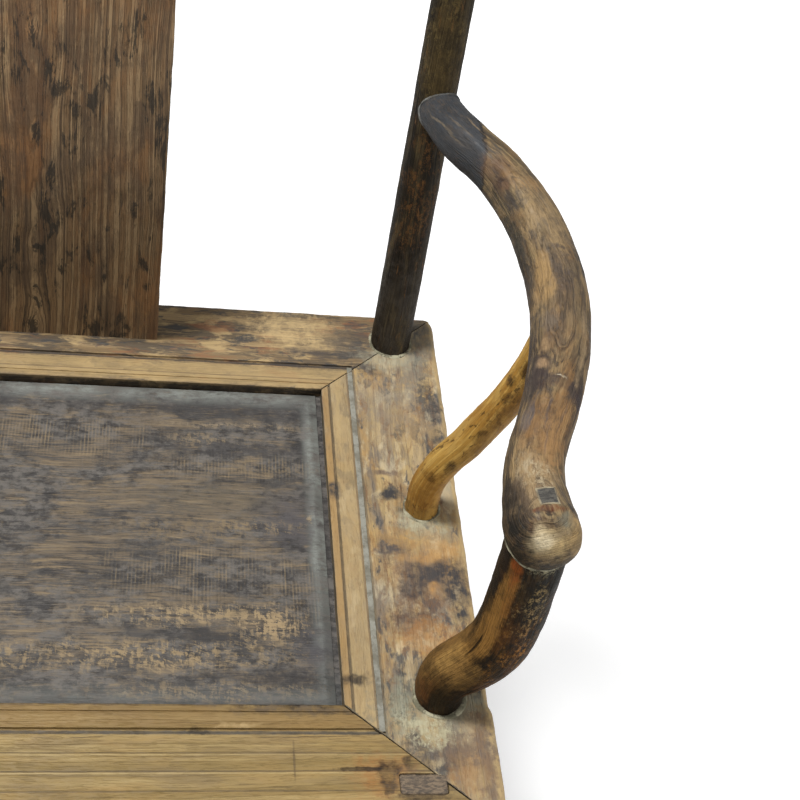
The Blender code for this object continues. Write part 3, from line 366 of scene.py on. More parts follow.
@dataclass(frozen=True)
class Wood:
    """An elm finish: rings, pores and hair lines that follow each piece's length, films and stains on it."""

    name: str
    pale: Triple
    middle: Triple
    deep: Triple
    line: Triple
    films: tuple[Film, ...] = ()
    stains: tuple[Stain, ...] = ()
    ring_width: float = 0.004
    pith: Triple = (0.015, -0.060, 0)
    line_share: float = 0.7
    line_width: float = 0.03
    hair_share: float = 0.4
    pore_share: float = 0.3
    fibre_share: float = 0.3
    gloss: float = 0.50
    specular: float = 0.25
    relief: float = 0.0008
    coat: float = 0.0

    def material(self) -> bpy.types.Material:
        """Writes the finish as a material.

        Returns:
            The material.
        """
        board = Palette(self.name, self.pale)
        place = board.place
        grain = board.attribute(GRAIN)
        bent = board.swayed(grain, (10, 10, 2.6), (0.03, 0.03, 0))
        from_pith = board.vector("SUBTRACT", board.vector("MULTIPLY", bent, (1, 1, 0)), self.pith)
        ring = board.vector("LENGTH", from_pith)
        broad = board.bands(ring, self.ring_width, 1)
        hair = board.bands(ring, self.ring_width / 6, 3, 0.7)
        pores = board.cloud(bent, (1500, 1500, 60), 2, 0.6)
        board.paint(board.ramp(broad, 0.38, 0.62), self.middle)
        board.paint(board.ramp(hair, 0.46, 0.68, self.hair_share), self.deep)
        crossing = board.maths("ABSOLUTE", board.minus(broad, 0.5))
        late = board.ramp(crossing, self.line_width, 0)
        board.paint(board.times(late, self.line_share), self.line)
        board.paint(board.ramp(pores, 0.54, 0.66, self.pore_share), self.line)
        height = board.times(board.plus(late, hair), -0.4)
        height = board.minus(height, board.ramp(pores, 0.54, 0.66, 0.3))
        for film in self.films:
            share = self.cover(board, film, grain, hair)
            board.paint(share, film.colour)
            height = board.plus(height, board.times(share, 0.25))
        rag = board.cloud(place, (210, 210, 210), 4, 0.65)
        blotch = board.ramp(board.cloud(place, (70, 70, 70), 6, 0.70), 0.40, 0.57, 0.55)
        fibre = board.ramp(hair, 0.44, 0.64, self.fibre_share)
        broken = board.times(board.plus(blotch, 0.45), board.minus(1, fibre))
        clumps = board.ramp(board.cloud(grain, (110, 110, 60), 4, 0.6), 0.40, 0.58)
        holes = board.ramp(board.cloud(grain, (330, 330, 230), 8, 0.85), 0.49, 0.56)
        lace = board.times(holes, clumps)
        even = board.plus(board.times(broken, 0.4), 0.6)
        torn = {
            Ground.CHAIR: board.swayed(place, (70, 60, 70), (0.012, 0.020, 0.012)),
            Ground.STICK: board.swayed(grain, (80, 80, 45), (0.009, 0.009, 0.020)),
        }
        whole = {Ground.CHAIR: place, Ground.STICK: grain}
        for stain in self.stains:
            spot = (torn if stain.torn else whole)[stain.ground]
            share = spread(board, stain, spot, rag)
            mask = lace if stain.lace else broken if stain.torn else even
            share = board.times(share, mask)
            board.paint(share, stain.colour)
        rough = board.plus(board.times(rag, 0.4), self.gloss - 0.2, True)
        board.skin({"Base Color": board.colour, "Roughness": rough, "Specular IOR Level": self.specular})
        board.skin({"Coat Weight": self.coat, "Coat Roughness": 0.22})
        board.relief(board.plus(height, board.times(rag, 0.6)), self.relief)
        return board.material

    def cover(self, board: Palette, film: Film, grain: Socket, hair: Socket) -> Socket:
        """Where a film is left.

        Args:
            board: the material's palette.
            film: the film.
            grain: the coordinates that it is broken in.
            hair: the fine bands that its edge follows.

        Returns:
            Its share at each place.
        """
        cloud = board.cloud(grain, film.scale, 6, 0.66, 0.4)
        bias = board.times(board.minus(hair, 0.5), film.follow)
        edge = 0.5 + NOISE_SPREAD * NormalDist().inv_cdf(1 - film.cover)
        return board.ramp(board.plus(cloud, bias), edge - film.soft, edge + film.soft, film.strength)


@dataclass(frozen=True)
class PanelLacquer:
    """Slate lacquer, scratched along the boards and worn through on the crests of the plane's chatter, with
    painted sheen on its bevels.
    """

    name: str = "slate_lacquer"
    slate: Triple = (108, 103, 97)
    black: Triple = (52, 49, 47)
    brown: Triple = (124, 108, 86)
    tan: Triple = (148, 128, 96)
    # The colour of the painted sheen on the bevels.
    rim: Triple = (140, 143, 136)
    flecked: tuple[Stain, ...] = ()
    patches: tuple[Stain, ...] = ()

    def material(self) -> bpy.types.Material:
        """Writes the finish as a material.

        Returns:
            The material.
        """
        board = Palette(self.name, self.black)
        place = board.place
        # The rub attribute: how far the lacquer is worn (kept low in the channels round the field, so they
        # stay black as painted shade), the chatter's ripple, and where the painted sheen lies.
        worn, ripple, rim = board.node("ShaderNodeSeparateXYZ", {0: board.attribute(RUB_SHADE_AND_SHEEN)}).outputs
        bent = board.swayed(place, (6, 22, 1), (0, 0.020, 0))
        scratch = board.cloud(bent, (34, 640, 1), 7, 0.68, 0.3)
        patch = board.cloud(place, (24, 50, 1), 6, 0.70)
        mottle = board.cloud(place, (90, 150, 60), 6, 0.72)
        rag = board.cloud(place, (210, 210, 210), 4, 0.65)
        torn = board.swayed(place, (70, 70, 1), (0.016, 0.016, 0))
        across, back, up = board.node("ShaderNodeSeparateXYZ", {0: torn}).outputs
        folded = {0: board.maths("ABSOLUTE", across), 1: back, 2: up}
        spot = board.node("ShaderNodeCombineXYZ", folded).outputs[0]
        board.paint(board.ramp(mottle, 0.38, 0.60), self.slate)
        level = board.plus(patch, worn)
        dusk = board.ramp(board.cloud(place, (13, 42, 1), 7, 0.75), 0.46, 0.58, 0.60)
        board.paint(dusk, self.black)
        hazy = board.times(board.ramp(level, 0.44, 0.60, 0.75), board.ramp(scratch, 0.36, 0.56))
        board.paint(hazy, self.brown)
        thin = board.times(board.ramp(level, 0.42, 0.56, 0.65), board.ramp(scratch, 0.54, 0.64))
        board.paint(thin, self.tan)
        ground = board.ramp(board.cloud(place, (60, 60, 1), 5, 0.7), 0.40, 0.60, 0.60)
        crest = board.times(board.ramp(ripple, 0, 1), ground)
        board.paint(crest, self.tan)
        furrow = board.times(board.ramp(ripple, 0, -1.0, 0.45), board.ramp(mottle, 0.66, 0.42))
        board.paint(furrow, self.black)
        for stain in self.patches:
            share = board.times(spread(board, stain, spot, rag), board.ramp(mottle, 0.30, 0.50))
            board.paint(share, stain.colour)
        tilted = board.node("ShaderNodeMapping", {"Vector": place, "Rotation": (0, 0, 0.30)}).outputs[0]
        drifting = board.swayed(tilted, (24, 24, 1), (0.010, 0.016, 0))
        swirl = board.cloud(drifting, (90, 300, 1), 9, 0.80)
        upright = board.cloud(bent, (420, 90, 1), 3, 0.6)
        swirl = board.plus(swirl, board.times(board.minus(upright, 0.5), 0.45))
        chips = board.ramp(board.plus(swirl, board.times(ripple, 0.03)), 0.49, 0.55)
        for stain in self.flecked:
            share = board.times(spread(board, stain, spot, rag), chips)
            board.paint(share, stain.colour)
        # Painted sheen on the bevels, broken by the mottle.
        hazy = board.times(rim, board.ramp(mottle, 0.70, 0.36))
        board.paint(hazy, self.rim)
        rough = board.plus(board.ramp(mottle, 0.3, 0.7, 0.25), 0.4)
        board.skin({"Base Color": board.colour, "Roughness": rough, "Specular IOR Level": 0.4})
        board.relief(board.plus(scratch, board.times(mottle, 0.6)), 0.0008)
        return board.material


@dataclass(frozen=True)
class Filler:
    """Pale crumbly filler pressed into the joints."""

    name: str
    pale: Triple
    grey: Triple
    crumb: float = 0.75

    def material(self) -> bpy.types.Material:
        """Writes the finish as a material.

        Returns:
            The material.
        """
        board = Palette(self.name, self.pale)
        place = board.place
        crumbs = board.cloud(place, (260, 260, 260), 5, 0.7)
        dirt = board.cloud(place, (60, 60, 60), 4, 0.6)
        board.paint(board.ramp(dirt, 0.42, 0.58), self.grey)
        board.paint(board.ramp(crumbs, 0.50, 0.60, self.crumb), (84, 76, 62))
        board.skin({"Base Color": board.colour, "Roughness": 0.85})
        board.relief(crumbs, 0.0008)
        return board.material


@dataclass(frozen=True)
class EndGrain:
    """The sawn end of a tenon: close rings cut across, grey with dirt."""

    name: str
    pale: Triple
    dark: Triple

    def material(self) -> bpy.types.Material:
        """Writes the finish as a material.

        Returns:
            The material.
        """
        board = Palette(self.name, self.pale)
        place = board.place
        rings = board.cloud(place, (220, 700, 220), 3, 0.6, 0.5)
        specks = board.cloud(place, (900, 900, 900), 3, 0.6)
        dirt = board.cloud(place, (120, 120, 120), 4, 0.6)
        board.paint(board.ramp(rings, 0.42, 0.60), self.dark)
        board.paint(board.ramp(dirt, 0.50, 0.64, 0.7), self.dark)
        board.paint(board.ramp(specks, 0.60, 0.70, 0.6), (60, 52, 42))
        board.skin({"Base Color": board.colour, "Roughness": 0.7})
        board.relief(specks, 0.0005)
        return board.material


Finish = Wood | PanelLacquer | Filler | EndGrain


@cache
def material_of(finish: Finish) -> bpy.types.Material:
    """The material of a finish, which is made once."""
    return finish.material()


# Work with operators
def pick_nothing() -> None:
    """Deselects every object."""
    bpy.ops.object.select_all(action="DESELECT")


def pick(*pieces: Piece) -> None:
    """Selects only these pieces and makes the first one active.

    Args:
        pieces: the pieces.
    """
    pick_nothing()
    for piece in pieces:
        piece.select_set(True)
    bpy.context.view_layer.objects.active = pieces[0]


def choose_all() -> None:
    """Selects, in edit mode, the whole of a piece."""
    bpy.ops.mesh.select_all(action="SELECT")
# Builds every sub-assembly in order, logging each one's name.


def choose_kind(kind: str) -> None:
    """Makes ready, in edit mode, to select faces or edges, with none selected yet."""
    bpy.ops.mesh.select_mode(type=kind)
    bpy.ops.mesh.select_all(action="DESELECT")


@contextmanager
def shaping(piece: Piece) -> Iterator[None]:
    """Opens a piece in edit mode with nothing selected, and closes it again.

    Args:
        piece: the piece.

    Returns:
        A context in which it is open.
    """
    pick(piece)
    bpy.ops.object.mode_set(mode="EDIT")
    choose_kind("FACE")
    yield
    bpy.ops.object.mode_set(mode="OBJECT")


def choose_faces(piece: Piece, test: Callable[[Vector, Vector], bool]) -> None:
    """Selects, in edit mode, only the faces whose middle and normal pass a test.

    Args:
        piece: the piece.
        test: takes a face's middle and normal.
    """
    choose_kind("FACE")
    for face in bmesh.from_edit_mesh(piece.data).faces:
        if test(face.calc_center_median(), face.normal):
            face.select_set(True)
    bmesh.update_edit_mesh(piece.data)


def choose_edges(piece: Piece, test: Callable[[Vector, Vector], bool]) -> None:
    """Selects, in edit mode, only the edges whose two ends pass a test.

    Args:
        piece: the piece.
        test: takes the places of an edge's two ends.
    """
    choose_kind("EDGE")
    for edge in bmesh.from_edit_mesh(piece.data).edges:
        if test(*(corner.co for corner in edge.verts)):
            edge.select_set(True)
    bmesh.update_edit_mesh(piece.data)


def draw_out(move: Vector) -> None:
    """Extrudes, in edit mode, what is selected, and moves it."""
    bpy.ops.mesh.extrude_region_move(TRANSFORM_OT_translate={"value": move, "orient_type": "GLOBAL"})


def turn_outwards() -> None:
    """Points, in edit mode, every face of a piece outwards."""
    choose_all()
    bpy.ops.mesh.normals_make_consistent(inside=False)


def settle() -> None:
    """Puts the active piece's place, turn and size into its mesh."""
    bpy.ops.object.transform_apply(location=True, rotation=True, scale=True)


def slice_at(place: Vector, across: Vector, **options: bool) -> None:
    """Bisects the whole of the piece that is open in edit mode."""
    choose_all()
    bpy.ops.mesh.bisect(plane_co=place, plane_no=across, **options)


def rule(piece: Piece, across: Vector, pitch: float) -> None:
    """Bisects a piece into equal slices, so that it has points to be worn at.

    Args:
        piece: the piece.
        across: the direction in which the slices follow each other.
        pitch: the greatest thickness of a slice.
    """
    places = [corner.co.dot(across) for corner in piece.data.vertices]
    low, high = min(places), max(places)
    count = math.ceil((high - low) / pitch)
    with shaping(piece):
        for step in range(1, count):
            slice_at(across * (low + (high - low) * step / count), across)


def named(name: str) -> Piece:
    """Names the primitive that was just added, and settles it.

    Args:
        name: its name.

    Returns:
        The piece.
    """
    piece = bpy.context.active_object
    piece.name = name
    settle()
    return piece


def block(name: str, low: Vector, high: Vector) -> Piece:
    """Adds a block between two corners, to be shaped further.

    Args:
        name: the piece's name.
        low: its lowest corner.
        high: its highest corner.

    Returns:
        The block.
    """
    pick_nothing()
    bpy.ops.mesh.primitive_cube_add(size=1, location=(low + high) / 2, scale=high - low)
    return named(name)


def added(name: str, data: bpy.types.ID) -> bpy.types.Object:
    """A new object of some data, in the scene.

    Args:
        name: its name.
        data: what it shows.

    Returns:
        The object.
    """
    made = bpy.data.objects.new(name, data)
    bpy.context.scene.collection.objects.link(made)
    return made


def finish_with(piece: Piece, kind: str, **settings: object) -> None:
    """Adds a modifier, sets it and applies it.

    Args:
        piece: the piece.
        kind: the modifier's type.
        settings: the modifier's options.
    """
    pick(piece)
    bpy.ops.object.modifier_add(type=kind)
    modifier = piece.modifiers[-1]
    for name, value in settings.items():
        setattr(modifier, name, value)
    bpy.ops.object.modifier_apply(modifier=modifier.name)


def soften(piece: Piece, width: float, segments: int = 2) -> None:
    """Rounds every square arris of a piece a little."""
    options = {"limit_method": "ANGLE", "angle_limit": ARRIS_ANGLE}
    finish_with(piece, "BEVEL", width=width, segments=segments, **options)


def subdivide(piece: Piece, levels: int, kind: str = "CATMULL_CLARK") -> None:
    """Gives a piece a finer skin."""
    finish_with(piece, "SUBSURF", levels=levels, render_levels=levels, subdivision_type=kind)


def weather(piece: Piece, depth: float, size: float) -> None:
    """Makes a surface uneven, as hand work and wear leave it.

    Args:
        piece: the piece.
        depth: from the lowest to the highest place.
        size: the width of its lumps.
    """
    cloud = bpy.data.textures.new(f"lumps_{piece.name}", "CLOUDS")
    cloud.noise_scale = size
    cloud.noise_depth = 2
    finish_with(piece, "DISPLACE", texture=cloud, strength=depth, mid_level=0.5, texture_coords="LOCAL")


def roughen(piece: Piece, levels: int, wear: Wear, kind: str = "CATMULL_CLARK") -> None:
    """Wears a piece, on a finer skin.

    Args:
        piece: the piece.
        levels: how often its skin is divided.
        wear: depth and width of its swells, and the same of its pits.
        kind: how its skin is divided.
    """
    subdivide(piece, levels, kind)
    for depth, size in wear:
        weather(piece, depth, size)


def shave(piece: Piece, tool: Piece) -> None:
    """Cuts a tool's shape out of a piece and throws the tool away."""
    finish_with(piece, "BOOLEAN", object=tool, operation="DIFFERENCE", solver="EXACT")
    bpy.data.objects.remove(tool)


def copy_of(piece: Piece, name: str) -> Piece:
    """Copies a piece together with its mesh.

    Args:
        piece: the piece.
        name: the copy's name.

    Returns:
        The copy.
    """
    pick(piece)
    bpy.ops.object.duplicate()
    copy = bpy.context.active_object
    copy.name = name
    return copy


def other_hand(piece: Piece, name: str) -> Piece:
    """Copies a piece to the other side of the chair, as its mirror image.

    Args:
        piece: the piece on the sitter's left.
        name: the copy's name.

    Returns:
        The copy.
    """
    copy = copy_of(piece, name)
    copy.scale.x = -1
    settle()
    with shaping(copy):
        turn_outwards()
    return copy


def hand_over(piece: Piece, finish: Finish, slot: str, *nodes: str) -> None:
    """Smooths a finished piece, dresses it, hangs it under the root body and hides the CAD nodes that it
    replaces.

    Args:
        piece: the piece.
        finish: its finish.
        slot: not used.
        nodes: the CAD nodes that it replaces.
    """
    pick(piece)
    bpy.ops.object.shade_smooth_by_angle(angle=SMOOTH_ANGLE)
    piece.data.materials.clear()
    piece.data.materials.append(material_of(finish))
    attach(piece, "root")
    if nodes:
        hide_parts(*nodes)
    faces = sum(len(face.vertices) - 2 for face in piece.data.polygons)
    LOG.info("%s: %d triangles", piece.name, faces)


def hand_over_both(piece: Piece, finish: Finish, slot: str) -> None:
    """Hands over a piece of the left side that replaces no node, and its mirror image.

    Args:
        piece: the piece.
        finish: its finish.
        slot: not used.
    """
    twin = other_hand(piece, piece.name.replace("left", "right"))
    for made in (piece, twin):
        hand_over(made, finish, slot)


# Sticks: round or flat members that follow a line
@dataclass(frozen=True)
class Station:
    """One cross-section of a stick: its middle, the way the stick runs there, and its half sizes."""

    middle: Vector
    heading: Vector
    size: Vector


def round_section(radius: float) -> Vector:
    """The half sizes of a round section."""
    return ONE * radius


def mirrored(line: Sequence[Station]) -> list[Station]:
    """The same sections on the chair's other side."""
    flip = Vector((-1, 1, 1))
    return [Station(station.middle * flip, station.heading * flip, station.size) for station in line]


def handle_pair(before: Vector, here: Vector, after: Vector) -> tuple[Vector, Vector]:
    """The two smooth handles of a curve's point.

    Args:
        before: the point before.
        here: the point.
        after: the point after.

    Returns:
        The handle towards the point before, and the one towards the point after.
    """
    back = here - before
    onward = after - here
    pull = back.normalized() + onward.normalized()
    reach = pull.length * HANDLE_REACH
    return here - pull * (back.length / reach), here + pull * (onward.length / reach)


def flowing(points: Sequence[Vector], radii: Sequence[float], pitch: float) -> list[Station]:
    """Runs a smooth line through points, as a bent stick does, and takes sections along it.

    Args:
        points: the points.
        radii: the stick's radius at each.
        pitch: the distance between sections.

    Returns:
        The sections, first to last.
    """
    ghosts = [points[0] * 2 - points[1], *points, points[-1] * 2 - points[-2]]
    handles = [handle_pair(*ghosts[i:i + 3]) for i in range(len(points))]
    dense: list[tuple[Vector, float]] = []
    steps = 24
    for i, (here, there) in enumerate(pairwise(points)):
        arc = geometry.interpolate_bezier(here, handles[i][1], handles[i + 1][0], there, steps + 1)
        growth = radii[i + 1] - radii[i]
        for step, place in enumerate(arc[:-1]):
            share = step / steps
            dense.append((place, radii[i] + growth * ease(share) * 0.5 + growth * share * 0.5))
    dense.append((points[-1], radii[-1]))
    lengths = [0.0]
    for (one, _), (two, _) in pairwise(dense):
        lengths.append(lengths[-1] + (two - one).length)
    count = max(round(lengths[-1] / pitch), 2)
    places: list[tuple[Vector, float]] = []
    mark = 0
    for step in range(count + 1):
        goal = lengths[-1] * step / count
        while mark < len(lengths) - 2 and lengths[mark + 1] < goal:
            mark += 1
        share = (goal - lengths[mark]) / (lengths[mark + 1] - lengths[mark])
        (one, thin), (two, thick) = dense[mark], dense[mark + 1]
        places.append((one.lerp(two, share), thin + (thick - thin) * share))
    stations = []
    for i, (place, radius) in enumerate(places):
        before = places[max(i - 1, 0)][0]
        after = places[min(i + 1, count)][0]
        stations.append(Station(place, (after - before).normalized(), round_section(radius)))
    return stations


def turn_section(turn: Quaternion, pivot: Vector) -> None:
    """Turns what is selected about a place, one axis of the chair after another.

    Args:
        turn: the turn.
        pivot: the place.
    """
    for axis, angle in zip("XYZ", turn.to_euler("XYZ")):
        if abs(angle) > NEAR:
            options = {"orient_type": "GLOBAL", "center_override": pivot}
            bpy.ops.transform.rotate(value=-angle, orient_axis=axis, **options)


def resize_section(before: Vector, after: Vector, pivot: Vector) -> None:
    """Grows or shrinks what is selected from one half size to another.

    Args:
        before: the half size now.
        after: the new one.
        pivot: the place that stays.
    """
    share = Vector(two / one for one, two in zip(before, after))
    if (share - ONE).length > NEAR:
        bpy.ops.transform.resize(value=share, orient_type="GLOBAL", center_override=pivot)


def stick(
    name: str, stations: Sequence[Station], sides: int = 24, ends: tuple[End, End] = (End.SAWN, End.SAWN),
) -> Piece:
    """Draws a section out along its stations.

    Args:
        name: the piece's name.
        stations: its sections, first to last.
        sides: corners of the section; four make a flat board.
        ends: how the first and the last end are closed.

    Returns:
        The stick, closed at both ends.
    """
    first = stations[0]
    swell = 3 / (2 + math.cos(math.tau / sides)) if sides > 4 else math.sqrt(2)
    pick_nothing()
    turn = first.heading.to_track_quat("Z", "Y").to_euler()
    options = {"fill_type": "NGON", "location": first.middle, "rotation": turn}
    bpy.ops.mesh.primitive_circle_add(vertices=sides, radius=swell, **options)
    piece = named(name)
    bpy.ops.object.mode_set(mode="EDIT")
    bpy.ops.mesh.select_mode(type="FACE")
    choose_all()
    resize_section(ONE, first.size, first.middle)
    for here, there in pairwise(stations):
        draw_out(there.middle - here.middle)
        turn_section(here.heading.rotation_difference(there.heading), there.middle)
        resize_section(here.size, there.size, there.middle)
    for end, station in zip(ends, (first, stations[-1])):
        choose_faces(piece, lambda middle, normal: (middle - station.middle).length < NEAR)
        if end is End.DOMED:
            bpy.ops.mesh.inset(thickness=min(station.size) * 0.5)
            bpy.ops.mesh.merge(type="CENTER")
        else:
            bpy.ops.mesh.inset(thickness=SAWN_RIM)
    turn_outwards()
    bpy.ops.object.mode_set(mode="OBJECT")
    return piece


def note(piece: Piece, name: str, values: np.ndarray) -> None:
    """Stores a vector for each point of a piece, for its material to read."""
    store = piece.data.attributes.new(name, "FLOAT_VECTOR", "POINT")
    store.data.foreach_set("vector", values.astype(np.float32).ravel())


def lay_grain(piece: Piece, stations: Sequence[Station], reference: Vector, hand: int = 1) -> None:
    """Stores each point's place in the wood: two offsets from the middle line, and the length along it.

    Args:
        piece: the piece.
        stations: its line.
        reference: the direction that the first offset is measured in.
        hand: -1 turns the second offset round, for the chair's other side.
    """
    middles = np.array([station.middle for station in stations])
    headings = np.gradient(middles, axis=0)
    headings /= np.linalg.norm(headings, axis=1)[:, None]
    lengths = np.concatenate([[0], np.cumsum(np.linalg.norm(np.diff(middles, axis=0), axis=1))])
    aside = np.array(reference) - headings * (headings @ np.array(reference))[:, None]
    aside /= np.linalg.norm(aside, axis=1)[:, None]
    over = np.cross(headings, aside) * hand
    corners = np.empty(len(piece.data.vertices) * 3)
    piece.data.vertices.foreach_get("co", corners)
    corners = corners.reshape(-1, 3)
    nearest = np.empty(len(corners), int)
    batch = 4000
    for start in range(0, len(corners), batch):
        part = corners[start:start + batch]
        gaps = ((part[:, None, :] - middles[None, :, :]) ** 2).sum(2)
        nearest[start:start + batch] = gaps.argmin(1)
    offsets = corners - middles[nearest]
    along = (offsets * headings[nearest]).sum(1)
    first = (offsets * aside[nearest]).sum(1)
    second = (offsets * over[nearest]).sum(1)
    note(piece, GRAIN, np.stack([first, second, lengths[nearest] + along], axis=1))


def straight(start: Vector, end: Vector, size: Vector, end_size: Vector | None = None) -> list[Station]:
    """The two sections of a straight member, from their middles and half sizes."""
    heading = (end - start).normalized()
    return [Station(start, heading, size), Station(end, heading, end_size or size)]


def divided(stations: Sequence[Station], pitch: float) -> list[Station]:
    """Adds sections between those of a straight or bent line, near a pitch apart.

    Args:
        stations: the line's sections.
        pitch: the pitch.

    Returns:
        All the sections, in order.
    """
    result = [stations[0]]
    for here, there in pairwise(stations):
        count = max(round((there.middle - here.middle).length / pitch), 1)
        for step in range(1, count + 1):
            share = step / count
            middle = here.middle.lerp(there.middle, share)
            heading = here.heading.lerp(there.heading, share).normalized()
            result.append(Station(middle, heading, here.size.lerp(there.size, share)))
    return result


def bead(name: str, points: Sequence[Vector], girth: float, squash: float = 1.0) -> Piece:
    """Draws a closed bead of filler through points.

    Args:
        name: the bead's name.
        points: the places that it passes through.
        girth: its radius.
        squash: how much of its height is left.

    Returns:
        The bead.
    """
    line = bpy.data.curves.new(name, "CURVE")
    line.dimensions = "3D"
    line.bevel_depth = girth
    line.bevel_resolution = 2
    line.resolution_u = 4
    spline = line.splines.new("BEZIER")
    spline.bezier_points.add(len(points) - 1)
    for knot, point in zip(spline.bezier_points, points):
        knot.co = point
        knot.handle_left_type = knot.handle_right_type = "AUTO"
        knot.radius = 1 + 0.9 * noise.noise(point * 90)
    spline.use_cyclic_u = True
    piece = added(name, line)
    pick(piece)
    bpy.ops.object.convert(target="MESH")
    middle = sum(points, Vector()) / len(points)
    with shaping(piece):
        choose_all()
        bpy.ops.mesh.remove_doubles(threshold=TINY)
        turn_outwards()
        bpy.ops.transform.resize(value=(1, 1, squash), center_override=middle)
    weather(piece, girth * 0.7, 0.005)
    return piece


def seam_points(target: Piece, start: Station, count: int = 40) -> list[Vector]:
    """Finds where a stick's skin, followed from a section along its heading, meets another piece.

    Args:
        target: the other piece.
        start: the section.
        count: how many points are found around it.

    Returns:
        The points, in order round the stick.
    """
    aside = start.heading.orthogonal().normalized()
    points = []
    for step in range(count):
        arm = Quaternion(start.heading, math.tau * step / count) @ aside
        met, place, *_ = target.ray_cast(start.middle + arm * start.size.x, start.heading)
        if met:
            points.append(place)
    return points


def collar(name: str, foot: Vector, radius: float, girth: float) -> Piece:
    """Lays a flattened bead of filler round a round foot, a little out of true.

    Args:
        name: the bead's name.
        foot: the foot's middle.
        radius: the foot's radius.
        girth: the bead's radius.

    Returns:
        The bead.
    """
    points = []
    count = 22
    gap = 0.0010
    wander = 0.0007
    for step in range(count):
        angle = math.tau * step / count
        out = Vector((math.cos(angle), math.sin(angle), 0))
        reach = radius + gap + wander * noise.noise(foot * 40 + out * 2.2)
        points.append(foot + out * reach)
    return bead(name, points, girth, 0.6)


# Stains and finishes
SLATE = (64, 63, 64)
SOOT = (42, 35, 28)
EVERYWHERE = 3.0


def on_seat(
    x: float, y: float, reach: tuple[float, float], colour: Triple, strength: float, **more: float,
) -> Stain:
    """A stain on the seat's top: its place, how far it reaches across and back, its colour and strength."""
    return Stain((*metres(x, y), SEAT_HEIGHT), (*metres(*reach), 0.01), colour, strength, **more)


def along_rail(x: float, reach: float, height: float, colour: Triple, strength: float) -> Stain:
    """A stripe of another tone along the left side rail.

    Args:
        x: its middle.
        reach: half its width.
        height: how high it lies.
        colour: its colour.
        strength: how much it covers.

    Returns:
        The stain.
    """
    x, reach, height = metres(x, reach, height)
    place = (x, SEAT_DEPTH / 2, height)
    return Stain(place, (reach, EVERYWHERE, 0.004), colour, strength, 0.35, 0.4, torn=False)


def across_rail(y: float, reach: float, height: float, colour: Triple, strength: float) -> Stain:
    """A stripe of another tone along a front or back rail."""
    y, reach, height = metres(y, reach, height)
    return Stain((0, y, height), (EVERYWHERE, reach, 0.005), colour, strength, 0.5, 0.4, torn=False)


def around(
    first: float, second: float, length: float, reach: Triple, colour: Triple, strength: float = 0.8,
    ragged: float = 0.7, soft: float = 0.4, **more: bool,
) -> Stain:
    """A stain on a stick: its two offsets from the middle line and its place along it."""
    place = metres(first, second, length)
    return Stain(place, metres(*reach), colour, strength, ragged, soft, Ground.STICK, **more)


GOLDEN = Wood(
    "golden_elm", (160, 136, 88), (140, 118, 72), (112, 91, 56), (84, 68, 50),
    films=(
        Film((176, 142, 86), (30, 30, 6), 0.34, 0.45, 0.1, 0.05),
        Film((124, 106, 76), (50, 50, 10), 0.3, 0.5, 0.08, 0.05),
        Film((186, 162, 112), (160, 160, 10), 0.18, 0.45, 0.06, 0.05),
        Film((72, 60, 48), (300, 300, 12), 0.04, 0.6, 0.03, 0.4),
    ),
    stains=(
        across_rail(82.4, 9.6, 499, (136, 108, 66), 0.7),
        # Painted shade and dirt on the rail's inner arris, where it drops to the panel.
        across_rail(93, 2.4, 497, (66, 52, 40), 0.9),
        across_rail(71.1, 1.8, 499, (84, 80, 74), 0.95),
        # Dark scored lines; the pale stripe just beside two of them is a painted highlight on the line's
        # edge.
        across_rail(55.8, 0.5, 500, (100, 86, 64), 0.65),
        across_rail(54.5, 0.6, 500, (190, 166, 116), 0.5),
        across_rail(42.6, 0.6, 500, (92, 80, 62), 0.7),
        across_rail(41.2, 0.6, 500, (194, 170, 120), 0.55),
        across_rail(28.5, 0.6, 500, (94, 80, 60), 0.7),
        across_rail(15, 0.6, 500, (96, 80, 60), 0.6),
        on_seat(130, 76.2, (14, 2.2), (196, 168, 120), 0.65),
        on_seat(174, 87.5, (46, 3.6), (92, 80, 66), 0.8),
        on_seat(165, 91.6, (30, 2.2), (42, 35, 28), 0.9),
        on_seat(105.5, 73.5, (7, 3), SOOT, 0.7, ragged=1.2),
        on_seat(230, 40, (19, 15), (158, 104, 54), 0.65, ragged=1.0, soft=0.6),
        on_seat(231.5, 46.1, (7.5, 5.8), SOOT, 1.0),
        on_seat(214, 44, (18, 1.6), SOOT, 0.9, soft=0.3, torn=False),
        on_seat(230.1, 37.3, (5, 4), SOOT, 0.95),
        on_seat(232.2, 30.8, (5, 4), SOOT, 0.9),
        on_seat(246, 48.3, (3.4, 4.2), SOOT, 0.9),
        on_seat(168.5, 50, (0.8, 13), (96, 80, 58), 0.7, torn=False),
        on_seat(256, 33, (25, 13), (108, 94, 78), 0.6, ragged=0.9, soft=0.5),
        on_seat(254, 22.5, (18, 3), (60, 48, 38), 0.8),
    ),
    ring_width=0.014, pith=(0.125, -0.03, 0.0), line_share=0.3, line_width=0.012, hair_share=0.14,
    pore_share=0.2, relief=0.0005,
)
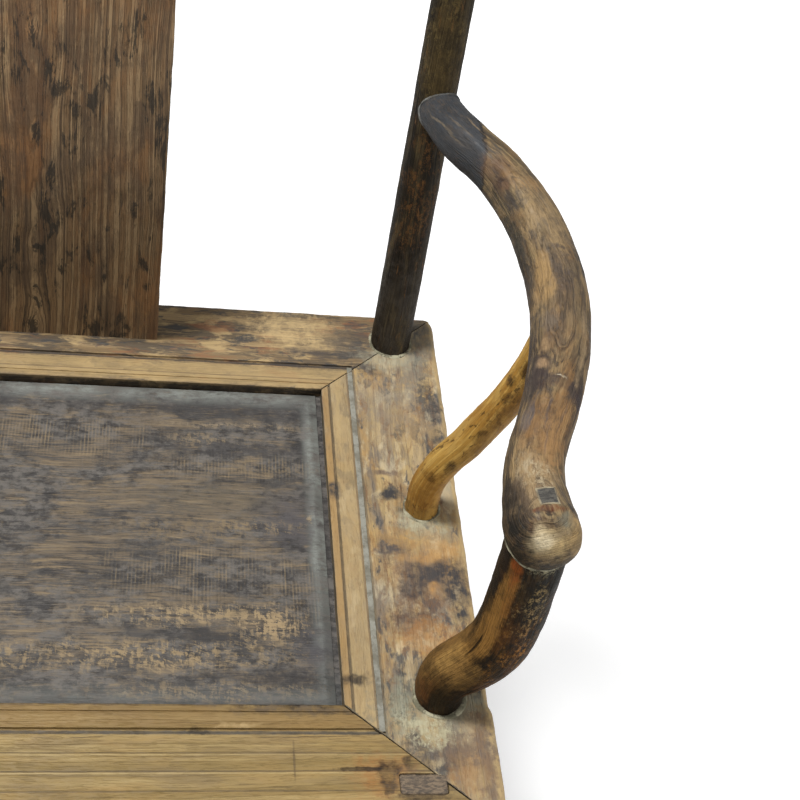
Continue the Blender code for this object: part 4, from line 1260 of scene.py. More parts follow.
TAN = Wood(
    "tan_elm", (178, 156, 120), (156, 134, 100), (126, 106, 82), (92, 78, 62),
    films=(
        Film((186, 144, 82), (26, 26, 14), 0.36, 0.65, 0.09, 0.1),
        Film((116, 108, 100), (34, 34, 18), 0.42, 0.75, 0.07, 0.1),
        Film((200, 172, 118), (60, 60, 14), 0.26, 0.6, 0.08, 0.2),
        Film((208, 192, 158), (60, 60, 30), 0.18, 0.55, 0.06, 0.1),
        Film((74, 76, 78), (80, 80, 40), 0.14, 0.85, 0.05, 0.1),
        Film((124, 88, 58), (130, 130, 50), 0.18, 0.55, 0.06, 0.1),
    ),
    stains=(
        along_rail(217.5, 12, 500, (176, 152, 110), 0.75),
        along_rail(308, 4, 500, (200, 172, 122), 0.85),
        along_rail(208, 2.6, 500, (166, 132, 84), 0.7),
        along_rail(211.2, 1.2, 500, (98, 86, 68), 0.85),
        along_rail(232.8, 1, 500, (108, 98, 80), 0.8),
        along_rail(227, 0.7, 500, (110, 92, 70), 0.7),
        # Painted shade and dirt on the rail's inner wall, along the gap to the panel.
        along_rail(204.6, 2.4, 495, (80, 76, 66), 0.95),
        on_seat(276, 200, (30, 30), (126, 92, 64), 0.6, ragged=1.4),
        on_seat(290, 203, (16, 14), SLATE, 1.0),
        on_seat(272, 206, (13, 9), (74, 70, 68), 0.95),
        on_seat(263, 191.6, (10, 11), SLATE, 0.95),
        on_seat(295.6, 185, (10, 10), SLATE, 1.0),
        on_seat(297.6, 168.5, (4.5, 5.8), SLATE, 1.0),
        on_seat(280, 190, (4.5, 6), (196, 150, 90), 0.8),
        on_seat(260.8, 161.6, (18, 11), (92, 74, 64), 0.95, ragged=1.0),
        on_seat(250.3, 227.8, (13, 12), (86, 80, 78), 0.95),
        on_seat(286, 225, (16, 9), (200, 156, 96), 0.65),
        on_seat(264, 218, (12, 5), (196, 152, 94), 0.6),
        on_seat(214.4, 112.7, (11, 4.2), (62, 54, 46), 0.95),
        on_seat(249.5, 413.8, (12, 6), (84, 76, 70), 0.9),
        on_seat(285, 410, (14, 18), (130, 120, 106), 0.8, ragged=1.2),
        on_seat(296.2, 370, (8, 14), SLATE, 0.95, ragged=1.4),
        on_seat(292.5, 395, (5, 12), SLATE, 0.9, ragged=1.4),
        on_seat(299, 340, (5, 7), SLATE, 0.9, ragged=1.2),
        on_seat(245, 390, (10, 12), (172, 144, 104), 0.6),
        on_seat(272, 350, (16, 20), (174, 144, 100), 0.6, ragged=1.0),
        on_seat(260, 380, (26, 30), (140, 130, 116), 0.6, ragged=1.4),
        on_seat(254.6, 276.7, (8.5, 7), SLATE, 1.0),
        on_seat(264, 264, (6, 5), (60, 56, 50), 0.8),
        on_seat(252, 301, (12, 3), (100, 84, 78), 0.8),
        on_seat(209.9, 282.6, (5, 8.5), SLATE, 1.0, ragged=0.3),
        on_seat(266, 86, (34, 26), (134, 130, 112), 0.8, ragged=1.2, soft=0.6),
        on_seat(242.9, 96.2, (6, 16), (150, 150, 130), 0.8, ragged=1.0),
        on_seat(253.7, 62.4, (10, 7), (70, 64, 60), 0.95),
        on_seat(271.6, 52, (20, 10), (78, 72, 68), 0.95),
        on_seat(290, 44, (16, 22), (156, 118, 76), 0.65, ragged=1.2),
        on_seat(297, 74, (10, 14), (130, 104, 82), 0.65, ragged=1.0),
        on_seat(270, 148, (24, 14), (178, 128, 72), 0.6, ragged=1.2),
        on_seat(266, 237, (20, 8), (192, 152, 92), 0.6, ragged=1.2),
        on_seat(285, 60, (26, 10), (112, 100, 90), 0.7, ragged=1.3),
        on_seat(300, 40, (8, 30), (120, 104, 90), 0.65, ragged=1.3),
        on_seat(257, 77.5, (12, 4.8), (200, 194, 160), 0.7, ragged=2.2),
        on_seat(267, 69, (9, 8), (194, 186, 150), 0.7, ragged=2.2),
        on_seat(245, 84, (5, 6), (176, 172, 146), 0.6, ragged=1.8),
        on_seat(260, 72, (24, 15), (196, 188, 156), 0.75, lace=True),
        on_seat(242, 90, (16, 20), (88, 84, 70), 0.7, lace=True),
        on_seat(293, 96, (10, 10), (160, 156, 134), 0.6, ragged=1.6),
        on_seat(277, 252, (22, 16), (140, 132, 112), 0.7, ragged=1.2, soft=0.6),
        on_seat(277, 253, (16, 9), (186, 180, 150), 0.75, ragged=1.5, soft=0.6),
        on_seat(268, 428, (26, 12), (172, 166, 142), 0.7, ragged=1.2, soft=0.6),
        on_seat(295, 455, (16, 26), (112, 108, 98), 0.75, ragged=1.2, soft=0.6),
    ),
    ring_width=0.009, pith=(-0.06, -0.08, 0.0), line_share=0.3, line_width=0.014, hair_share=0.22,
    pore_share=0.15, fibre_share=0.15, relief=0.0005,
)
BROWN = Wood(
    "brown_elm", (172, 146, 106), (136, 114, 84), (104, 88, 70), (66, 56, 48),
    films=(
        Film((86, 78, 68), (50, 50, 11), 0.48, 0.8, 0.05, 0.2),
        Film((198, 170, 122), (44, 44, 18), 0.24, 0.75, 0.05, 0.1),
        Film((72, 72, 72), (110, 110, 34), 0.2, 0.8, 0.03, 0.1),
        Film((150, 102, 70), (90, 90, 24), 0.16, 0.6, 0.05, 0.1),
    ),
    stains=(
        Stain((0, 0.4, 0.5), (EVERYWHERE, 0.011, 0.01), (180, 154, 108), 0.85, 0.4, 0.3, torn=False),
        across_rail(398.5, 0.6, 500, (110, 94, 72), 0.7),
        across_rail(414, 1.8, 500, (78, 70, 64), 0.95),
        # Painted shade and dirt on the rail's inner wall above the panel.
        across_rail(387.5, 2.4, 494, (42, 36, 29), 0.98),
        on_seat(185, 455, (34, 20), (204, 176, 128), 0.9, ragged=1.2),
        on_seat(235, 442, (22, 20), (92, 84, 76), 0.85, ragged=1.2),
        on_seat(195, 430, (20, 6), (84, 76, 72), 0.8, ragged=1.0),
        on_seat(268, 430, (26, 10), (170, 164, 140), 0.75, ragged=1.2, soft=0.6),
        on_seat(290, 462, (20, 16), (110, 106, 96), 0.75, ragged=1.2, soft=0.6),
    ),
    ring_width=0.006, pith=(0.08, -0.05, 0.0), line_share=0.35, line_width=0.02, hair_share=0.25,
    pore_share=0.15, relief=0.0005,
)
WORN = Wood(
    "worn_elm", (158, 132, 98), (132, 106, 76), (100, 78, 55), (58, 46, 38),
    films=(
        Film((146, 98, 56), (22, 22, 8), 0.28, 0.5, 0.08),
        Film((88, 72, 58), (44, 44, 14), 0.4, 0.6, 0.05),
        Film((54, 50, 44), (80, 80, 26), 0.16, 0.85, 0.03),
    ),
    ring_width=0.0045, pith=(-0.03, 0.012, 0.0), gloss=0.5, coat=0.05,
)


ARM_TONES = (
    around(-38.8, -86.1, -6.6, (122.5, 122.5, 122.5), (40, 38, 38), 1.0, 0.03, 0.008, torn=False),
    around(-38.8, -86.1, -6.6, (120.5, 120.5, 120.5), (65, 67, 70), 1.0, 0.03, 0.008, torn=False),
    around(20, 2, 135, (12, 16, 40), (158, 134, 98), 0.75, ragged=1.0),
    around(19, -2, 215, (12, 16, 50), (98, 84, 68), 0.65, ragged=1.2),
    around(0, 0, 283, (100, 100, 7.5), (66, 56, 54), 0.9, ragged=0.8),
    around(19, 2, 323, (14, 18, 30), (148, 112, 72), 0.75, ragged=0.8),
)
# Dark patches on both arms: slate and olive lacquer on the inner side, then painted shade along the underside
# and on the knob's inner side and underside.
ARM_DARKS_AND_SHADE = (
    around(-4, -25, 145, (15, 12, 60), (58, 58, 51), 0.95, ragged=0.5),
    around(-6, -26, 260, (16, 10, 120), (74, 62, 54), 0.85, ragged=0.5),
    # Painted shade: along the arm's underside, then on the knob's inner side and underside.
    around(-30, 0, 210, (20, 50, 500), (48, 40, 34), 0.95, ragged=0.4),
    around(8, -25, 386, (16, 11, 26), (46, 42, 36), 1.0, ragged=0.7),
    around(0, -25, 405, (14, 14, 24), (34, 32, 26), 1.0, ragged=0.6),
    around(-20, 0, 420, (17, 40, 34), (36, 32, 25), 1.0, ragged=0.4),
)
ARM = Wood(
    "arm_elm", (144, 124, 90), (112, 95, 71), (86, 74, 59), (46, 42, 40),
    films=(
        Film((146, 108, 68), (22, 22, 12), 0.34, 0.6, 0.08, 0.1),
        Film((80, 73, 66), (44, 44, 18), 0.4, 0.85, 0.04, 0.3),
        Film((172, 144, 102), (60, 60, 16), 0.24, 0.65, 0.05, 0.3),
        Film((58, 52, 48), (90, 90, 26), 0.16, 0.8, 0.03, 0.3),
        Film((70, 58, 48), (260, 260, 40), 0.14, 0.55, 0.04, 0.1),
    ),
    stains=(
        *ARM_TONES,
        around(12, -15, 36, (6, 0.8, 22), (132, 118, 96), 0.85, ragged=0.3),
        around(16, -8.5, 44, (6, 0.7, 14), (110, 98, 82), 0.75, ragged=0.3),
        around(18.7, 0.5, 48, (6, 0.9, 9), (146, 126, 98), 0.85, ragged=0.4),
        around(13.3, -13.3, 85, (11, 11, 12), (118, 90, 66), 0.6),
        around(11.1, -15.8, 103.6, (6, 6, 9), (72, 56, 48), 0.95),
        around(12, -13.5, 106, (3, 3, 4), (122, 94, 68), 0.7, ragged=1.4),
        around(10, -10, 35, (30, 30, 50), (88, 78, 68), 0.6, lace=True),
        around(11.3, -16.1, 117, (4.5, 5, 5.5), (58, 54, 54), 0.95),
        around(16.2, -13.6, 192, (6.5, 6.5, 20), (170, 138, 92), 0.9),
        around(21.2, 1, 188, (8, 9, 20), (80, 70, 64), 0.8, ragged=1.0),
        around(17, -12.5, 232, (8, 7, 9), (122, 108, 92), 0.8),
        around(16, -13.5, 248.7, (6, 5.8, 10), (76, 64, 58), 0.9),
        around(16, -13, 250, (4.5, 3.8, 6.8), (172, 142, 104), 0.95, ragged=0.4),
        around(15.5, -13, 268, (6, 6, 9), (78, 66, 60), 0.9),
        around(15.5, -12.5, 270, (4.5, 4, 5), (160, 132, 100), 0.95, ragged=0.4),
        around(15, 13, 250, (8, 3, 30), (166, 142, 108), 0.7),
        around(20, 1, 278, (4, 3.5, 0.9), (196, 182, 156), 0.9, ragged=0.5),
        around(13, 15, 290.5, (6, 6, 5), (60, 52, 56), 0.8),
        around(19.4, -0.8, 309, (6, 0.8, 13), (78, 72, 74), 0.9, ragged=0.3),
        around(19.2, 1.8, 333, (6, 0.8, 15), (78, 72, 74), 0.85, ragged=0.3),
        around(15.9, -10.8, 306, (6, 0.8, 16), (82, 74, 74), 0.85, ragged=0.3),
        around(17.4, 8.1, 316, (6, 0.7, 17), (84, 74, 72), 0.8, ragged=0.3),
        around(14.7, -13.5, 315, (5, 3.5, 12), (104, 96, 92), 0.8),
        around(15.7, -12, 340, (5, 3, 9), (160, 128, 90), 0.55),
        around(19, 6, 335, (8, 8, 28), (162, 126, 84), 0.65, ragged=1.2),
        around(19, -4, 370, (12, 16, 20), (158, 134, 102), 0.55),
        around(19, -2, 364, (10, 11, 11), (186, 168, 136), 0.85, lace=True),
        around(16, -12, 356, (8, 6, 14), (168, 148, 116), 0.8, lace=True),
        around(17.2, -9.9, 354.1, (5, 3.5, 4), (178, 162, 134), 0.7, ragged=1.0),
        around(15, -16.5, 376, (8, 8, 18), (84, 70, 58), 0.75),
        around(23.5, -1, 389.5, (8, 12, 3.2), (112, 62, 38), 0.85),
        around(21.2, -6, 398.5, (10, 18, 4), (78, 56, 42), 0.9),
        around(22.6, 7.5, 400, (6, 7, 6), (138, 134, 114), 0.75),
        # Painted highlights on the knob: a gold patch on its outer side, and its pale dome with the brightest
        # spot.
        around(12, 16, 406, (13, 10, 13), (190, 158, 106), 0.95, ragged=0.5),
        around(15, -7, 413, (13, 16, 12), (216, 186, 132), 1.0, ragged=0.4, soft=0.4),
        around(15.2, -10.6, 409.3, (8, 8, 8), (242, 226, 190), 1.0, ragged=0.3, soft=0.7),
        *ARM_DARKS_AND_SHADE,
    ),
    ring_width=0.0042, pith=(-0.022, 0.01, 0.0), line_share=0.75, gloss=0.52, specular=0.15, coat=0.03,
)
OTHER_ARM = replace(ARM, name="other_arm_elm", stains=(*ARM_TONES, *ARM_DARKS_AND_SHADE))
DARK = Wood(
    "dark_elm", (72, 62, 44), (54, 47, 35), (38, 33, 27), (23, 21, 18),
    films=(
        Film((100, 86, 58), (40, 40, 12), 0.28, 0.6, 0.06),
        Film((30, 26, 21), (60, 60, 12), 0.55, 0.85, 0.06, 0.3),
        Film((128, 90, 50), (280, 280, 50), 0.05, 0.65, 0.04, 0.35),
    ),
    ring_width=0.005, pith=(-0.03, 0.02, 0.0), gloss=0.55, specular=0.12,
)
BACK_POST = replace(
    DARK, name="back_post_elm",
    stains=(
        around(-4, -16, 775, (20, 20, 50), (124, 106, 66), 0.6, lace=True),
        around(-4, -16, 775, (16, 16, 40), (104, 86, 52), 0.6),
        around(-4, -16, 660, (20, 14, 60), (122, 84, 46), 0.6, lace=True),
        around(-1.5, -16.5, 540, (20, 16, 50), (76, 70, 62), 0.6, ragged=1.0),
    ),
)
POST = Wood(
    "dark_post_elm", (76, 56, 30), (56, 42, 24), (40, 31, 19), (22, 18, 13),
    films=(
        Film((104, 66, 30), (60, 60, 16), 0.24, 0.6, 0.06),
        Film((30, 26, 20), (90, 90, 30), 0.42, 0.85, 0.05, 0.3),
    ),
    stains=(
        # Near-black down the outer front side: dark lacquer with painted shade.
        around(12, -20, 145, (18, 13, 70), (28, 26, 20), 1.0, ragged=0.5),
        around(-22, -2, 170, (10, 10, 36), (38, 32, 28), 0.95, ragged=0.5),
        around(4, -21, 108, (14, 9, 36), (164, 112, 52), 0.95, lace=True),
        around(1, -21, 150, (12, 9, 26), (170, 144, 96), 0.85, lace=True),
        around(2, -21, 190, (14, 9, 9), (160, 152, 120), 0.85, lace=True),
        around(-16, 4, 55, (14, 20, 30), (122, 92, 50), 0.9),
        around(-20.5, 1.8, 70.9, (10, 13, 26), (134, 100, 54), 0.85),
        around(-19, -9, 98, (9, 8, 40), (150, 110, 56), 0.95, ragged=0.5),
        around(-19.9, -5.3, 60.7, (8, 7, 14), (174, 136, 76), 0.9, soft=0.6),
        around(-16.5, -13, 142, (5.8, 5.8, 45), (162, 118, 60), 0.98, ragged=0.5, soft=0.3),
        around(-13.5, -16, 160, (3.6, 4, 26), (158, 108, 52), 0.9, soft=0.3),
        around(-14.8, -14.8, 185, (4, 4.5, 18), (156, 80, 32), 0.95, soft=0.4),
        around(-11, -16, 62, (12, 8, 16), (150, 114, 62), 0.8),
        around(-6, -18.5, 38, (9, 9, 12), (48, 38, 24), 0.9),
        around(-16.5, -8, 30, (6, 10, 12), (112, 72, 38), 0.8),
        # Painted shade low on the outer front side, by the foot.
        around(12, -12, 25, (17, 16, 22), (26, 22, 16), 1.0, ragged=0.5),
        around(-19.6, -9.5, 91.4, (6, 0.9, 17), (20, 16, 12), 1.0, ragged=0.2, soft=0.3, torn=False),
    ),
    ring_width=0.0045, pith=(-0.03, 0.02, 0.0), line_share=0.5, hair_share=0.5, fibre_share=0.45,
    gloss=0.5, specular=0.12,
)
OCHRE = Wood(
    "ochre_elm", (206, 164, 86), (184, 140, 66), (148, 108, 48), (84, 60, 30),
    films=(
        Film((146, 98, 38), (40, 40, 14), 0.32, 0.55, 0.07, 0.1),
        Film((204, 168, 96), (60, 60, 20), 0.2, 0.5, 0.06, 0.1),
        Film((74, 54, 30), (200, 200, 110), 0.09, 0.75, 0.03, 0.1),
    ),
    stains=(
        # Painted shade down the front of the post.
        around(1.5, -14, 140, (7.5, 6, 70), (116, 82, 38), 0.75),
        around(-6, -11, 170, (8, 8, 40), (72, 52, 30), 0.6, lace=True),
        around(-11.1, -5.2, 174.8, (3, 4.5, 6), (66, 50, 30), 0.95),
        around(-6.9, -9.9, 192.8, (4.5, 4, 9), (62, 46, 28), 0.95),
        around(-8.1, -9.6, 158.6, (3.5, 3.5, 5), (66, 48, 28), 0.9),
        around(-4, -12, 120, (3.5, 4, 8), (84, 58, 28), 0.8),
        # Painted shade at the front of the knee.
        around(-1.1, -12.8, 79.8, (4.5, 4, 7), (66, 50, 30), 0.9),
        around(0, 0, 234, (30, 30, 20), (96, 66, 30), 0.7, ragged=0.8, soft=0.6),
        around(0, -6, 48, (20, 14, 22), (142, 96, 38), 0.7, ragged=0.8),
        around(-8, -9, 64, (6, 6, 3), (96, 66, 30), 0.85),
        around(0, 0, 25, (30, 30, 8), (92, 68, 36), 0.75, ragged=0.8),
    ),
    ring_width=0.004, pith=(-0.02, 0.02, 0.0), line_share=0.1, hair_share=0.18, pore_share=0.2,
    gloss=0.5, specular=0.15, relief=0.0005, coat=0.05,
)
PANEL = PanelLacquer(
    patches=(
        on_seat(120, 272, (60, 16), (108, 96, 76), 0.6, ragged=1.2, soft=0.7),
        on_seat(174.3, 255.1, (24, 26), (84, 80, 81), 0.85, ragged=0.9, soft=0.6),
        on_seat(187.7, 139.6, (15, 20), (80, 78, 81), 0.85, ragged=0.8, soft=0.6),
        on_seat(200.1, 107.3, (14, 18), (78, 81, 80), 0.9, ragged=0.6, soft=0.6),
        on_seat(168.8, 114.9, (45, 10), (48, 45, 44), 0.95, ragged=1.0, soft=0.6),
        on_seat(115, 150, (30, 6), (52, 49, 48), 0.85, ragged=1.0),
        on_seat(137.8, 367.9, (140, 12), (58, 56, 56), 0.75, ragged=1.2, soft=0.6),
        on_seat(145, 324, (60, 7), (60, 57, 57), 0.75, ragged=1.2, soft=0.6),
    ),
    flecked=(
        on_seat(137.5, 348, (62, 4.5), (142, 126, 102), 0.95, ragged=0.6),
        on_seat(110, 333, (34, 7), (142, 124, 96), 0.85),
        on_seat(150, 305, (50, 8), (134, 116, 88), 0.6),
        on_seat(150, 248, (34, 5), (150, 130, 98), 0.8),
        on_seat(189.7, 255.7, (4, 6), (164, 142, 106), 0.95),
        on_seat(100, 243, (60, 12), (128, 110, 82), 0.7),
        on_seat(156.2, 160, (26, 18), (172, 148, 110), 0.95),
        on_seat(90, 168, (65, 10), (164, 142, 106), 0.95),
        on_seat(70, 133, (100, 13), (160, 138, 102), 0.9),
        on_seat(110, 105, (85, 8), (138, 120, 92), 0.8),
    ),
)
# Where the plane's chatter shows: middle across and back, reach across and back
CHATTER = (
    (0.137, 0.306, 0.085, 0.014), (0.110, 0.205, 0.085, 0.026), (0.185, 0.190, 0.030, 0.030),
    (0.030, 0.330, 0.050, 0.020),
)
FILLER = Filler("joint_filler", (178, 172, 144), (116, 112, 90))
GROOVE_FILLER = Filler("groove_filler", (152, 150, 138), (126, 122, 108), 0.25)
MITRE_FILLER = Filler("mitre_filler", (140, 128, 104), (96, 86, 72))
SEAM_FILLER = Filler("seam_filler", (128, 129, 126), (84, 84, 82), 0.50)
ARM_RIM = Filler("arm_rim_filler", (168, 156, 128), (128, 116, 94), 0.50)
ARM_TENON_END = EndGrain("arm_tenon_end_grain", (92, 88, 80), (56, 54, 50))
TENON_END = EndGrain("tenon_end_grain", (132, 114, 92), (86, 75, 64))


# Sub-assemblies
@dataclass(frozen=True)
class Carving:
    """A line cut round the frame's top: its distances from the opening, its width and its depth."""

    side: float
    front: float
    back: float
    width: float
    depth: float


@dataclass
class SeatFrame:
    """The mitred frame: four rails, their carved line, the leg tenons' ends and the filler in the mitres."""

    width: float = SEAT_WIDTH
    depth: float = SEAT_DEPTH
    thickness: float = 0.034
    side_width: float = 0.105
    end_width: float = 0.092
    corner_radius: float = 0.009
    edge_round: float = 0.006
    groove: Carving = Carving(0.025, 0.020, 0.026, 0.0044, 0.002)
    inner_line: Carving = Carving(0.0062, 0.0055, 0.0060, 0.0012, 0.0009)
    mitre_gap: float = 0.0010
    mitre_filler_height: float = 0.0012
    mitre_filler_sink: float = 0.0014
    pitch: float = 0.007
    upright_pitch: float = 0.012
    arris: float = 0.0006
    wear: Wear = ((0.0008, 0.030), (0.0005, 0.007))
    filler_pitch: float = 0.002
    groove_wear: tuple[float, float] = (0.0007, 0.004)
    mitre_wear: tuple[float, float] = (0.0005, 0.004)
    groove_sink: float = 0.0003
    tenon_middle: tuple[float, float] = (0.255, 0.033)
    tenon_half: tuple[float, float] = (0.0165, 0.0075)
    tenon_slack: float = 0.00025
    tenon_depth: float = 0.004
    tenon_proud: float = 0.0002
    tenon_round: float = 0.0020
    mortise_round: float = 0.0022
    tenon_wear: tuple[float, float] = (0.0006, 0.004)
    step_setbacks: tuple[float, float] = (0.091, 0.330)
    outer_wear: float = 0.0024

    @property
    def half_opening(self) -> float:
        """Half the opening's width."""
        return self.width / 2 - self.side_width

    def whole(self) -> Piece:
        """Shapes the frame in one piece, with its opening and carved lines.

        Returns:
            The frame.
        """
        half = self.width / 2
        ring = block("whole_frame", at(-half, 0, FRAME_UNDERSIDE), at(half, self.depth, SEAT_HEIGHT))
        with shaping(ring):
            choose_edges(ring, lambda one, two: abs(one.z - two.z) > NEAR)
            bpy.ops.mesh.bevel(offset=self.corner_radius, segments=5)
            choose_edges(ring, lambda one, two: abs(one.z - two.z) < NEAR)
            bpy.ops.mesh.bevel(offset=self.edge_round, segments=4)
        past = 0.01
        hole = block(
            "opening",
            at(-self.half_opening, self.end_width, FRAME_UNDERSIDE - past),
            at(self.half_opening, self.depth - self.end_width, SEAT_HEIGHT + past),
        )
        shave(ring, hole)
        self.carve(ring, self.groove)
        self.carve(ring, self.inner_line)
        return ring

    def carve(self, ring: Piece, line: Carving) -> None:
        """Cuts a line all round the frame's top.

        Args:
            ring: the frame.
            line: the line.
        """
        edges = (-0.5 * line.width, 0.5 * line.width)
        xs = [self.half_opening + line.side + edge for edge in edges]
        fronts = [SEAT_FRONT + self.end_width - line.front - edge for edge in edges]
        backs = [SEAT_FRONT + self.depth - self.end_width + line.back + edge for edge in edges]
        with shaping(ring):
            for x in xs:
                slice_at(ACROSS * x, ACROSS)
                slice_at(ACROSS * -x, ACROSS)
            for y in fronts + backs:
                slice_at(BACKWARD * y, BACKWARD)

            def on_line(middle: Vector, normal: Vector) -> bool:
                """Whether a face lies in the carved line.

                Args:
                    middle: the face's middle.
                    normal: its normal.

                Returns:
                    True where it does.
                """
                inside = abs(middle.x) < xs[1] and fronts[1] < middle.y < backs[1]
                beyond = abs(middle.x) > xs[0] or not fronts[0] < middle.y < backs[0]
                return inside and beyond and normal.z > FACING and middle.z > SEAT_HEIGHT - SKIN

            choose_faces(ring, on_line)
            draw_out(UPWARD * -line.depth)

    def rail(self, whole: Piece, name: str, keep: Vector) -> Piece:
        """Cuts one rail out of the whole frame along its two mitres.

        Args:
            whole: the frame.
            name: the rail's name.
            keep: the direction from the chair's middle towards the rail.

        Returns:
            The rail.
        """
        rail = copy_of(whole, name)
        with shaping(rail):
            for sign, end in product((1, -1), (-1, 1)):
                if keep.x * sign > 0 or keep.y * end > 0:
                    y = self.end_width if end < 0 else self.depth - self.end_width
                    corner = at(sign * self.half_opening, y, 0)
                    normal = Vector((-sign * self.end_width, end * self.side_width, 0)).normalized()
                    across = normal if normal.dot(keep) < 0 else -normal
                    slice_at(corner + across * -self.mitre_gap / 2, across, clear_outer=True, use_fill=True)
        soften(rail, self.arris, 1)
        rule(rail, ACROSS, self.pitch)
        rule(rail, BACKWARD, self.pitch)
        rule(rail, UPWARD, self.upright_pitch)
        roughen(rail, 1, self.wear, "SIMPLE")
        return rail

    def build(self) -> None:
        """Builds and dresses the frame."""
        whole = self.whole()
        half = self.width / 2
        middle_z = SEAT_HEIGHT - self.thickness / 2
        for word, end, y in (("front", -1, self.end_width / 2), ("back", 1, self.depth - self.end_width / 2)):
            rail = self.rail(whole, f"worn_{word}_rail", BACKWARD * end)
            line = straight(at(-half, y, middle_z), at(half, y, middle_z), ONE)
            if end < 0:
                self.leg_tenon_ends(rail)
            lay_grain(rail, line, BACKWARD)
            finish = GOLDEN if end < 0 else BROWN
            hand_over(rail, finish, "honey_elm", f"seat_{word}_rail")
        for side in Side:
            rail = self.rail(whole, f"worn_side_rail_{side.word}", ACROSS * side.value)
            self.wear_outside(rail, side)
            x = side.value * (half - self.side_width / 2)
            line = straight(at(x, 0, middle_z), at(x, self.depth, middle_z), ONE)
            lay_grain(rail, line, ACROSS * side.value, -side.value)
            hand_over(rail, TAN, "honey_elm", f"seat_side_rail_{side.word}")
        bpy.data.objects.remove(whole)
        self.groove_filler()
        self.mitre_filler()

    def wear_outside(self, rail: Piece, side: Side) -> None:
        """Wears a side rail's outer face back behind a step, as hands and walls do.

        Args:
            rail: the rail.
            side: its side.
        """
        step_y = self.step_setbacks[0 if side is Side.LEFT else 1]
        for corner in rail.data.vertices:
            place = corner.co
            share = ease((abs(place.x) - self.width / 2 + 0.012) / 0.010)
            worn = ease((place.y - SEAT_FRONT - step_y + 0.004) / 0.008)
            chip = waver(place.y * 60, place.z * 40, side.value * 3.0)
            place.x += side.value * share * (self.outer_wear * (0.4 - worn) + 0.0007 * chip)

    def groove_filler(self) -> None:
        """Fills the carved line of both side rails."""
        reach = self.groove.width / 2 - SKIN
        x = self.half_opening + self.groove.side
        front = self.end_width - self.groove.front
        back = self.depth - self.end_width + self.groove.back
        low = at(x - reach, front, SEAT_HEIGHT - self.groove.depth)
        high = at(x + reach, back, SEAT_HEIGHT - self.groove_sink)
        strip = block("groove_filler_left", low, high)
        rule(strip, BACKWARD, self.filler_pitch)
        rule(strip, ACROSS, self.filler_pitch / 2)
        weather(strip, *self.groove_wear)
        hand_over_both(strip, GROOVE_FILLER, "honey_elm")

    def mitre_filler(self) -> None:
        """Fills the four mitres."""
        for side in Side:
            for word, inner_y, outer_y in (
                ("front", self.end_width, self.corner_radius),
                ("back", self.depth - self.end_width, self.depth - self.corner_radius),
            ):
                start = at(side.value * (self.half_opening + 0.001), inner_y, SEAT_HEIGHT)
                end = at(side.value * (self.width / 2 - self.corner_radius), outer_y, SEAT_HEIGHT)
                run = end - start
                middle = (start + end) / 2
                half = Vector((run.length / 2, self.mitre_gap * 0.42, self.mitre_filler_height))
                strip = block(f"mitre_filler_{word}_{side.word}", middle - half, middle + half)
                rule(strip, ACROSS, self.filler_pitch)
                with shaping(strip):
                    choose_all()
                    turn_section(Quaternion(UPWARD, math.atan2(run.y, run.x)), middle)
                    bpy.ops.transform.translate(value=UPWARD * -self.mitre_filler_sink)
                weather(strip, *self.mitre_wear)
                hand_over(strip, MITRE_FILLER, "honey_elm")

    def leg_tenon_ends(self, rail: Piece) -> None:
        """Cuts the two leg mortises into the front rail's top and sets the tenons' ends in them.

        Args:
            rail: the front rail.
        """
        for side in Side:
            x, y = self.tenon_middle
            middle = at(side.value * x, y, SEAT_HEIGHT)
            half = Vector((*self.tenon_half, self.tenon_depth))
            gap = Vector((self.tenon_slack, self.tenon_slack, 0))
            mortise = block("mortise", middle - half - gap, middle + half + gap)
            soften(mortise, self.mortise_round, 3)
            shave(rail, mortise)
            high = middle + Vector((*self.tenon_half, self.tenon_proud))
            end = block(f"leg_tenon_end_{side.word}", middle - half, high)
            soften(end, self.tenon_round, 3)
            rule(end, ACROSS, self.filler_pitch)
            rule(end, BACKWARD, self.filler_pitch)
            subdivide(end, 1, "SIMPLE")
            weather(end, *self.tenon_wear)
            hand_over(end, TENON_END, "honey_elm")


